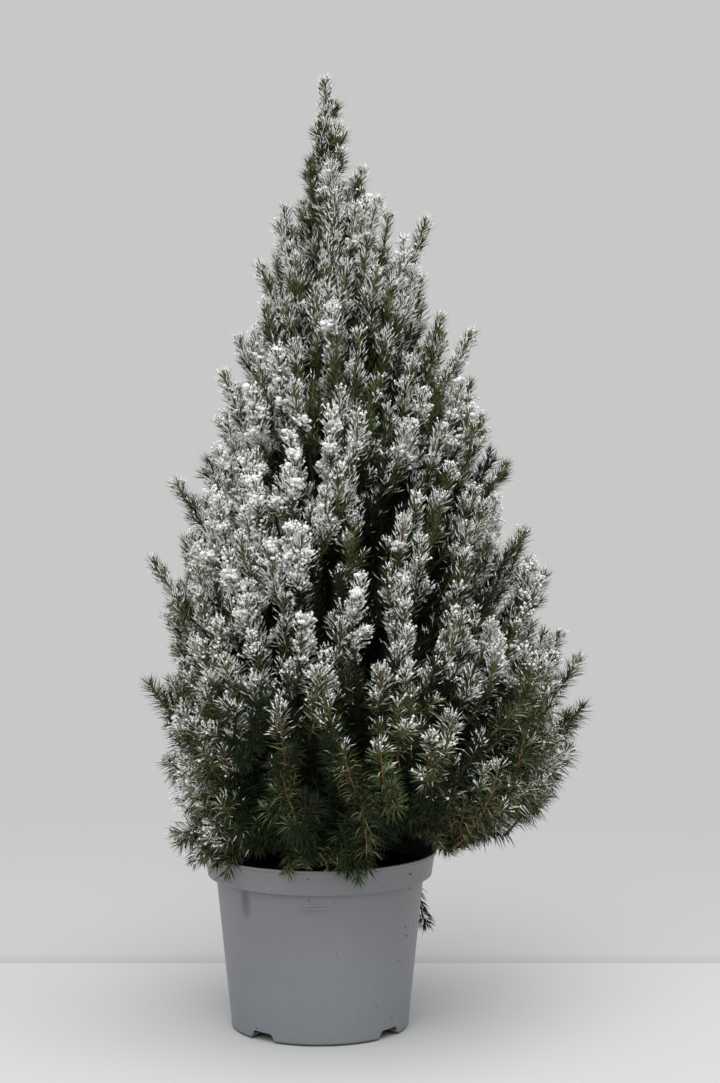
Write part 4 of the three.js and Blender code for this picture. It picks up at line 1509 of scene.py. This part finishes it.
def needles_of(crown, settings, snow):
    """Every needle of the crown: its root, heading, length, snow, roll and bow. The needles of a spray are
    set round it at the golden turn. They stand wide of it along the way, close up near its end and make a
    tuft at its tip. High ones rise a little, and low ones droop and arch."""
    curves = crown.curves
    length = curves.length()
    high = step(NEEDLE.low_z, NEEDLE.high_z, curves.tip[:, 2])
    per_mm = np.where(crown.rank == 0, NEEDLE.inner_per_mm, mix(NEEDLE.low_per_mm, NEEDLE.per_mm, high))
    per_mm = np.where(crown.rank > 0, per_mm * np.array(NEEDLE.behind)[crown.depth], per_mm)
    per_mm = per_mm * np.where(crown.top | crown.sprig | crown.leading, NEEDLE.top_density, 1)
    drooping = crown.sprig & (curves.tip[:, 1] > 0)
    per_mm = per_mm * np.where(drooping, NEEDLE.top_density, 1)
    on_sprig = np.where(drooping, NEEDLE.droop_start, NEEDLE.sprig_start)
    start = np.where(crown.sprig & (crown.rank == 1), on_sprig, np.array(NEEDLE.starts)[crown.rank])
    count = np.ceil(length * (1 - start) * per_mm).astype(int)
    tuft = np.array(NEEDLE.tuft)[crown.depth]
    tuft = np.where(crown.rank == 2, np.array(NEEDLE.side_tuft)[crown.depth], tuft)
    tuft = np.where(crown.rank == 0, 0, tuft)
    count = count + tuft
    owner = np.repeat(np.arange(len(curves)), count)
    k = np.arange(len(owner)) - np.repeat(np.cumsum(count) - count, count)
    random = np.random.default_rng(28)
    jitter = random.random((9, len(owner)))
    in_tuft = k >= count[owner] - tuft[owner]
    share = start[owner] + (1 - start[owner]) * (k + jitter[0]) / (count - tuft)[owner]
    share = np.where(in_tuft, 1 - NEEDLE.tuft_run * jitter[0] / length[owner], share)
    end = np.where(in_tuft, 0, step(0, NEEDLE.closing_run, (1 - share) * length[owner]))
    end = np.where(crown.rank[owner] > 0, end, 1)
    place = curves.place(owner, share)
    heading = curves.heading(owner, share)
    normal = curves.normal[owner]
    turn = k * GOLDEN_TURN + jitter[1] * NEEDLE.turn_stray
    out = np.cos(turn)[:, None] * normal + np.sin(turn)[:, None] * np.cross(heading, normal)
    high = step(NEEDLE.low_z, NEEDLE.high_z, place[:, 2])
    wide = mix(NEEDLE.low_angle, NEEDLE.high_angle, high) * mix(0.7, 1.25, jitter[2])
    close = mix(NEEDLE.least_tuft_angle, NEEDLE.most_tuft_angle, jitter[3])
    angle = np.radians(mix(close, wide, end))
    way = heading * np.cos(angle)[:, None] + out * np.sin(angle)[:, None]
    way = unit(way + point(0, 0, mix(-NEEDLE.droop, NEEDLE.rise, high) * end))
    size = mix(settings.low_length, settings.length, high) / MM
    size = size * mix(0.78, 1.12, jitter[4]) * mix(0.8, 1, end)
    size = size * np.where(crown.sprig[owner], NEEDLE.sprig_length, 1)
    size = size * np.where(crown.leading[owner], NEEDLE.leading_length, 1)
    inward = NEEDLE.inward * size * high * end
    arch = NEEDLE.arch * size * (1 - high) * end
    return SimpleNamespace(
        root=place + out * 0.4,
        heading=way,
        size=size,
        cover=needle_cover(snow[owner], high, share, end, way, place, jitter[5:7]),
        owner=owner,
        share=share,
        near_tip=1 - end,
        roll=jitter[7] * TAU,
        bow=out * inward[:, None] - down(arch),
        pick=jitter[8],
    )


def needle_cover(snow, high, share, end, way, place, jitter):
    """How well snow covers each needle, from 0 to 1. It is likelier near the tip of a spray, above all low
    down, on a needle that looks up, and in clumps."""
    amount = snow * bpy.context.scene.spruce_snow.amount
    low = 1 - high
    at_root = 0.35 - 0.3 * low
    at_tip = 1.75 + 0.5 * low
    likely = amount * mix(at_root, at_tip, share ** (2 + 2 * low))
    likely = likely + 0.6 * (1 - end) * np.minimum(1, 4 * amount)
    likely = likely * mix(0.65, 1.25, step(-0.5, 0.6, way[:, 2]))
    likely = likely * mix(0.3, 1.7, step(0.35, 0.65, clumps(place, SNOW.clump)))
    cover = np.where(jitter[0] < likely, mix(0.3, 0.75, jitter[1]) + 0.25 * amount, 0)
    return np.clip(cover, 0, 1)


def snowy_faces(places, faces, each, cover):
    """Which faces carry snow: those that look up far enough for how well their needle is covered. The
    outer part of a needle is covered long before its root."""
    a, b, c = (places[faces[:, i]] for i in range(3))
    up = unit(np.cross(b - a, c - a))[:, 2]
    limit = np.repeat(cover, each)
    outer = np.tile(np.arange(each) >= 3, len(cover))
    return up > np.where(outer, mix(0.45, -0.9, limit), mix(1.3, 0.1, limit))


def add_needles(name, found, which, radius, widest, slot, crown, tint):
    """Pieces of needles, each under the limit of faces, in the order of the masses they grow on."""
    looks = needle_looks()
    each = 4 if widest == 0 else 6
    snowy = slot == "frosted_needles"
    which = which[np.argsort(crown.home[found.owner[which]], kind="stable")]
    run = MOST_FACES // each
    forms = (found.root, found.heading, found.size, radius, found.roll, found.bow)
    for number, first in enumerate(range(0, len(which), run)):
        some = which[first : first + run]
        places, faces = spindles(*(values[some] for values in forms), widest)
        green = np.repeat(tint[some], each)
        if snowy:
            outer = np.tile(np.arange(each) >= 3, len(some))
            thick = np.repeat(found.cover[some] > 0.62, each)
            green = np.where(outer | thick, len(GREENS), green)
            white = snowy_faces(places, faces, each, found.cover[some])
            green = np.where(white, len(GREENS) + 1, green)
        piece = add_mesh(f"{name}_{number + 1}", places, [faces], looks, green, smooth=False)
        home = np.unique(crown.home[found.owner[some]])
        settle(piece, slot, *(node_names()[i] for i in home))


def node_names():
    """The CAD nodes that needles stand for: the masses, and the leader last."""
    return [mass.name for mass in MASSES] + ["leader"]


@lru_cache(maxsize=1)
def needle_looks():
    """The greens and the snow, one material each."""
    settings = bpy.context.scene.spruce_needles
    looks = [plain_look(f"needle_{green}", getattr(settings, green), 0.45, 0.2) for green in GREENS]
    snow = bpy.context.scene.spruce_snow
    return looks + [plain_look("frost", snow.frost, 0.7, 0.2), plain_look("snow", snow.colour, 0.8, 0.3)]


def build_needles(settings):
    """Bare needles of four faces, low ones that arch of six, and rimed ones of six. Many of those that are
    covered best also end in a bead of snow. In each spray some needles are paler, as painted highlights,
    and others, most of them near the roots of its shoots, are of the deep green, partly old needles and
    partly painted shade."""
    crown = grown_crown()
    found = needles_of(crown, settings, snow_on(crown))
    tint = tint_of(crown)[found.owner]
    lively = tint > GREENS.index("deep")
    low = step(390, 270, found.root[:, 2])
    right = step(20, 130, found.root[:, 0])
    # Pale and straw needles are painted highlights.
    pale = found.pick < mix(0.2, 0.26, low)
    straw = found.pick < low * mix(0.17, 0.25, right)
    # Needles near the roots and a share low down get deep green, partly old needles and partly painted
    # shade.
    near_root = (found.pick > 0.95 * found.share + mix(0.26, 0.12, right)) & ~crown.top[found.owner]
    old_and_painted_shade = near_root | (found.pick > mix(0.8, 0.55, low * (1 - right)))
    tint = np.where(pale & lively, GREENS.index("pale"), tint)
    tint = np.where(straw & lively, GREENS.index("straw"), tint)
    tint = np.where(old_and_painted_shade & lively, GREENS.index("deep"), tint)
    bare = found.cover == 0
    arched = bare & (found.root[:, 2] < 300) & (crown.depth[found.owner] == 0) & (found.near_tip < 1)
    shown = crown.sprig[found.owner] | ~in_the_open(found.root + found.heading * found.size[:, None])
    stout = np.where(crown.rank == 0, NEEDLE.stoutness[2], np.array(NEEDLE.stoutness)[crown.depth])
    radius = settings.thickness / MM / 2 * (1 + 0.6 * found.cover + 0.12 * low) * stout[found.owner]
    rimed = ~bare & shown
    kinds = (
        ("bare_needles", bare & ~arched & shown, radius * 1.05, 0, "green_needles"),
        ("arched_needles", arched & shown, radius * 1.1, 0.45, "green_needles"),
        ("rimed_needles", rimed, radius, 0.58, "frosted_needles"),
    )
    for name, members, thick, widest, slot in kinds:
        add_needles(name, found, np.flatnonzero(members), thick, widest, slot, crown, tint)
    least_cover = mix(0.88, 0.6, found.near_tip)
    share_beaded = mix(0.6, 0.3, step(600, 720, found.root[:, 2]))
    beaded = rimed & (found.cover > least_cover) & (found.pick < share_beaded)
    capped = np.flatnonzero(beaded & ~crown.leading[found.owner] & ~crown.top[found.owner])
    middle = found.root[capped] + found.heading[capped] * (found.size[capped] * 0.9)[:, None]
    size = mix(1.0, 2.4, found.pick[capped] / 0.6) * found.cover[capped]
    places, faces = beads(middle, size, 7000)
    settle(add_mesh("snow_beads", places, [faces], needle_looks()[-1:]), "frosted_needles")


def build_twigs(settings):
    """A tapering twig along every spray, with four sides on limbs and main shoots and three on the rest.
    Inner limbs, the layers behind and sprays of the two darkest greens have the dark bark, partly the
    colour of old wood and partly painted shade."""
    crown = grown_crown()
    young = bark_look("twig_bark", settings.twig, 3)
    old_and_painted_shade = bark_look("limb_bark", settings.bark, 2)
    # Twigs behind, and those of the two darkest greens, take the dark bark: partly old bark and partly
    # painted shade.
    deep = (crown.depth > 0) | (tint_of(crown) <= GREENS.index("deep"))
    groups = (
        ("inner_limbs", crown.rank == 0, INNER, 4, 4, old_and_painted_shade),
        ("main_twigs", (crown.rank == 1) & ~deep, SHOOT, 4, 5, young),
        ("side_twigs", (crown.rank == 2) & ~deep, SIDE, 3, 3, young),
        ("deep_main_twigs", (crown.rank == 1) & deep, SHOOT, 4, 4, old_and_painted_shade),
        ("deep_side_twigs", (crown.rank == 2) & deep, SIDE, 3, 3, old_and_painted_shade),
    )
    halfway = crown.curves.place(np.arange(len(crown.rank)), 0.5)
    shown = crown.sprig | ~(in_the_open(halfway) | in_the_open(crown.curves.root))
    for name, members, size, sides, rows, look in groups:
        curves = crown.curves.pick(members & shown)
        share = np.linspace(0, 1, rows)
        radius = np.broadcast_to(mix(size.root_radius, size.tip_radius, share), (len(curves), rows))
        places, faces = tubes(curves, radius, sides, rows, 2.0)
        piece = add_mesh(name, places, faces, [look])
        settle(piece, "bark")


def build_snow(settings):
    """Small lumps of snow on the outer tips that carry most of it, larger and further down where it is
    heavy. At the foot of the crown a tip needs a little less of it."""
    crown = grown_crown()
    snow = snow_on(crown) * settings.amount
    least = mix(0.27, 0.36, step(280, 420, crown.curves.tip[:, 2]))
    chosen = np.flatnonzero((crown.rank > 0) & (snow > least) & (crown.depth == 0))
    heavy = step(0.85, 1, snow[chosen])
    by_amount = mix(1, 8, step(0.36, 0.95, snow[chosen]))
    count = np.round(by_amount + 7 * heavy).astype(int)
    owner = np.repeat(chosen, count)
    random = np.random.default_rng(5)
    draw = random.random((5, len(owner)))
    heavy = np.repeat(heavy, count)
    share = 1 - mix(0.28, 0.6, heavy) * draw[0] ** 1.5
    ahead = 4 * draw[3]
    middle = crown.curves.place(owner, share) + crown.curves.heading(owner, share) * ahead[:, None]
    angle = TAU * draw[1]
    aside = 5.5 * np.sqrt(draw[2])
    above = 2.0 + 2.5 * draw[4]
    middle = middle + point(aside * np.cos(angle), aside * np.sin(angle), above)
    size = mix(0.8, 2.5, snow[owner] * draw[4]) + 1.1 * heavy * draw[3]
    places, faces = lumps(middle, size, (1.15, 1.15, 0.8), 7000)
    piece = add_mesh("snow_lumps", places, [faces], [needle_looks()[-1]])
    settle(piece, "frosted_needles")


def build_trunk(settings):
    """The trunk: rings round its line, whose radius falls by a power of the height, with a flare of
    buttresses at the foot, waves round it, and scaly plates of bark, a lattice folded about its middle."""
    z = np.linspace(TRUNK.foot, TRUNK.line[-1][2], TRUNK.rows)
    middle = trunk_at(z)
    share = step(TRUNK.line[0][2], TRUNK.line[-1][2], z)
    run = z - z[0]
    radius = mix(TRUNK.foot_radius, TRUNK.tip_radius, share**TRUNK.taper_power)
    flare = TRUNK.flare_radius - TRUNK.foot_radius
    radius = radius + flare * np.maximum(0, 1 - run / TRUNK.flare_length) ** 2
    angles = TAU * np.arange(TRUNK.sides) / TRUNK.sides
    turn = np.broadcast_to(angles / TAU, (len(z), TRUNK.sides))
    up = np.broadcast_to(share[:, None], turn.shape)
    plates = lattice(turn, up, 9, 90, 21) + 0.5 * lattice(turn, up, 18, 220, 91)
    depth = TRUNK.relief * np.minimum(1, radius / 6)[:, None] * (np.abs(plates - 0.75) * 2 - 0.7)
    fade = np.maximum(0, 1 - run / 20)[:, None] ** 2
    buttress = TRUNK.buttress * np.cos(TRUNK.buttresses * angles + 0.7) * fade
    reach_out = radius[:, None] * (1 + buttress) + depth
    ring = middle[:, None] + point(reach_out * np.cos(angles), reach_out * np.sin(angles), 0)
    places = np.concatenate([ring.reshape(-1, 3), middle[:1], middle[-1:]])
    faces = tube_faces(1, TRUNK.rows, TRUNK.sides)
    piece = add_mesh("trunk_bark", places, faces, [bark_look("bark", settings.bark, 1)])
    settle(piece, "bark", "trunk")


def build_boughs(settings):
    """The boughs: tapering tubes with the same scaly relief, on to their hubs."""
    curves = bough_curves(MASSES)
    share = np.linspace(0, 1, BOUGH.rows)
    radius = np.broadcast_to(mix(BOUGH.root_radius, BOUGH.tip_radius, share), (len(curves), BOUGH.rows))
    places, faces = tubes(curves, radius, BOUGH.sides, BOUGH.rows)
    size = BOUGH.rows * BOUGH.sides + 2
    shell = places.reshape(len(curves), size, 3)
    ring = shell[:, :-2].reshape(len(curves), BOUGH.rows, BOUGH.sides, 3)
    axis = ring.mean(2, keepdims=True)
    turn = np.broadcast_to(np.arange(BOUGH.sides) / BOUGH.sides, ring.shape[:-1])
    up = np.broadcast_to(share[:, None], ring.shape[:-1])
    number = np.arange(len(curves))[:, None, None]
    coarse = lattice(turn + 0.37 * number, up, 7, 24, 51)
    fine = lattice(turn + 0.61 * number, up, 11, 40, 13)
    relief = coarse + 0.5 * fine
    ring += unit(ring - axis) * (BOUGH.relief * (np.abs(relief - 0.75) * 2 - 0.5))[..., None]
    nodes = [f"bough_{m.level + 1}_{m.index + 1}" for m in MASSES if m.level < BOUGH_TIERS]
    look = bark_look("bough_bark", settings.bark, 1.6)
    piece = add_mesh("boughs_bark", shell.reshape(-1, 3), faces, [look])
    settle(piece, "bark", *nodes)


# Stage


def build_floor(settings):
    """The floor: flat rings of corners, wider apart further out."""
    rings = np.geomspace(FLOOR.first_ring, FLOOR.last_ring, FLOOR.rings)[:, None]
    side = np.arange(FLOOR.sides)
    angles = TAU * side / FLOOR.sides
    corners = point(rings * np.cos(angles), rings * np.sin(angles), 0).reshape(-1, 3)
    centre = np.full(FLOOR.sides, len(corners))
    middle = np.stack([centre, side, (side + 1) % FLOOR.sides], axis=1)
    faces = [grid_faces(FLOOR.rings, FLOOR.sides)[:, ::-1], middle]
    look = floor_look(settings.floor, settings.backdrop)
    floor = add_mesh("floor", np.concatenate([corners, [(0, 0, 0)]]), faces, [look])


def build_stage(settings):
    """A pale floor, pale surroundings, two broad soft lamps, and the camera at the photo's view."""
    scene = bpy.context.scene
    build_floor(settings)
    world = bpy.data.worlds.new("surroundings")
    world.use_nodes = True
    world.node_tree.nodes["Background"].inputs["Color"].default_value = (*settings.backdrop, 1)
    world.node_tree.nodes["Background"].inputs["Strength"].default_value = 1.0
    scene.world = world
    add_lamp("key_lamp", place=(-0.65, -2.9, 2.8), size=3.2, watts=66)
    add_lamp("top_lamp", place=(0.6, -0.9, 3.3), size=3.2, watts=58)
    camera = bpy.data.cameras.new("camera")
    camera.sensor_width = SENSOR_WIDTH
    camera.lens = PHOTO.focal / PHOTO.height * SENSOR_WIDTH
    eye = bpy.data.objects.new("camera", camera)
    eye.location = (PHOTO.eye_x, -settings.distance, PHOTO.eye_z)
    eye.rotation_euler = (math.radians(90 - PHOTO.pitch), 0, 0)
    scene.collection.objects.link(eye)
    scene.camera = eye
    scene.view_settings.view_transform = "Standard"


def add_lamp(name, place, size, watts):
    """A square area lamp that looks at the middle of the plant."""
    lamp = bpy.data.lights.new(name, "AREA")
    lamp.size = size
    lamp.energy = watts
    holder = bpy.data.objects.new(name, lamp)
    holder.location = place
    aim = np.array(LAMP_AIM) - place
    yaw = math.atan2(aim[1], aim[0]) - math.pi / 2
    holder.rotation_euler = (math.acos(-aim[2] / np.linalg.norm(aim)), 0, yaw)
    bpy.context.scene.collection.objects.link(holder)


# Operators


class SPRUCE_OT_pot(bpy.types.Operator):
    """Adds the pot with its drain notches, and the specks that cling to it"""

    bl_idname = "spruce.pot"
    bl_label = "Pot"

    def execute(self, context):
        build_pot(context.scene.spruce_pot)
        build_specks(context.scene.spruce_pot)
        return {"FINISHED"}


class SPRUCE_OT_compost(bpy.types.Operator):
    """Adds the bed of compost and its crumbs"""

    bl_idname = "spruce.compost"
    bl_label = "Compost"

    def execute(self, context):
        build_compost(context.scene.spruce_pot)
        return {"FINISHED"}


class SPRUCE_OT_wood(bpy.types.Operator):
    """Adds the trunk and the boughs with their bark"""

    bl_idname = "spruce.wood"
    bl_label = "Trunk and Boughs"

    def execute(self, context):
        build_trunk(context.scene.spruce_wood)
        build_boughs(context.scene.spruce_wood)
        return {"FINISHED"}


class SPRUCE_OT_twigs(bpy.types.Operator):
    """Adds the inner limbs, the main twigs and the side twigs"""

    bl_idname = "spruce.twigs"
    bl_label = "Twigs"

    def execute(self, context):
        build_twigs(context.scene.spruce_wood)
        return {"FINISHED"}


class SPRUCE_OT_needles(bpy.types.Operator):
    """Adds the needles, bare, rimed and capped with snow"""

    bl_idname = "spruce.needles"
    bl_label = "Needles"

    def execute(self, context):
        build_needles(context.scene.spruce_needles)
        return {"FINISHED"}


class SPRUCE_OT_snow(bpy.types.Operator):
    """Adds the lumps of snow on the tips"""

    bl_idname = "spruce.snow"
    bl_label = "Snow"

    def execute(self, context):
        build_snow(context.scene.spruce_snow)
        return {"FINISHED"}


class SPRUCE_OT_stage(bpy.types.Operator):
    """Adds the floor, the light and the camera"""

    bl_idname = "spruce.stage"
    bl_label = "Stage"

    def execute(self, context):
        build_stage(context.scene.spruce_stage)
        return {"FINISHED"}


class SPRUCE_PT_panel(bpy.types.Panel):
    """Lists the parts of the plant, with their settings"""

    bl_idname = "SPRUCE_PT_panel"
    bl_label = "Potted Dwarf Spruce"
    bl_space_type = "VIEW_3D"
    bl_region_type = "UI"
    bl_category = "Spruce"

    def draw(self, context):
        for operator in OPERATORS:
            self.layout.operator(operator.bl_idname)
        for name, group in SETTINGS.items():
            box = self.layout.box()
            for key in group.__annotations__:
                box.prop(getattr(context.scene, name), key)


OPERATORS = (
    SPRUCE_OT_stage,
    SPRUCE_OT_pot,
    SPRUCE_OT_compost,
    SPRUCE_OT_wood,
    SPRUCE_OT_twigs,
    SPRUCE_OT_needles,
    SPRUCE_OT_snow,
)
SETTINGS = {
    "spruce_pot": PotSettings,
    "spruce_wood": WoodSettings,
    "spruce_needles": NeedleSettings,
    "spruce_snow": SnowSettings,
    "spruce_stage": StageSettings,
}


def register():
    for name, group in SETTINGS.items():
        bpy.utils.register_class(group)
        setattr(bpy.types.Scene, name, bpy.props.PointerProperty(type=group))
    for operator in OPERATORS:
        bpy.utils.register_class(operator)
    bpy.utils.register_class(SPRUCE_PT_panel)


def unregister():
    bpy.utils.unregister_class(SPRUCE_PT_panel)
    for operator in reversed(OPERATORS):
        bpy.utils.unregister_class(operator)
    for name, group in SETTINGS.items():
        delattr(bpy.types.Scene, name)
        bpy.utils.unregister_class(group)


def main():
    register()
    bpy.ops.spruce.stage()
    bpy.ops.spruce.pot()
    bpy.ops.spruce.compost()
    bpy.ops.spruce.wood()
    bpy.ops.spruce.twigs()
    bpy.ops.spruce.needles()
    bpy.ops.spruce.snow()


if __name__ == "__main__":
    main()
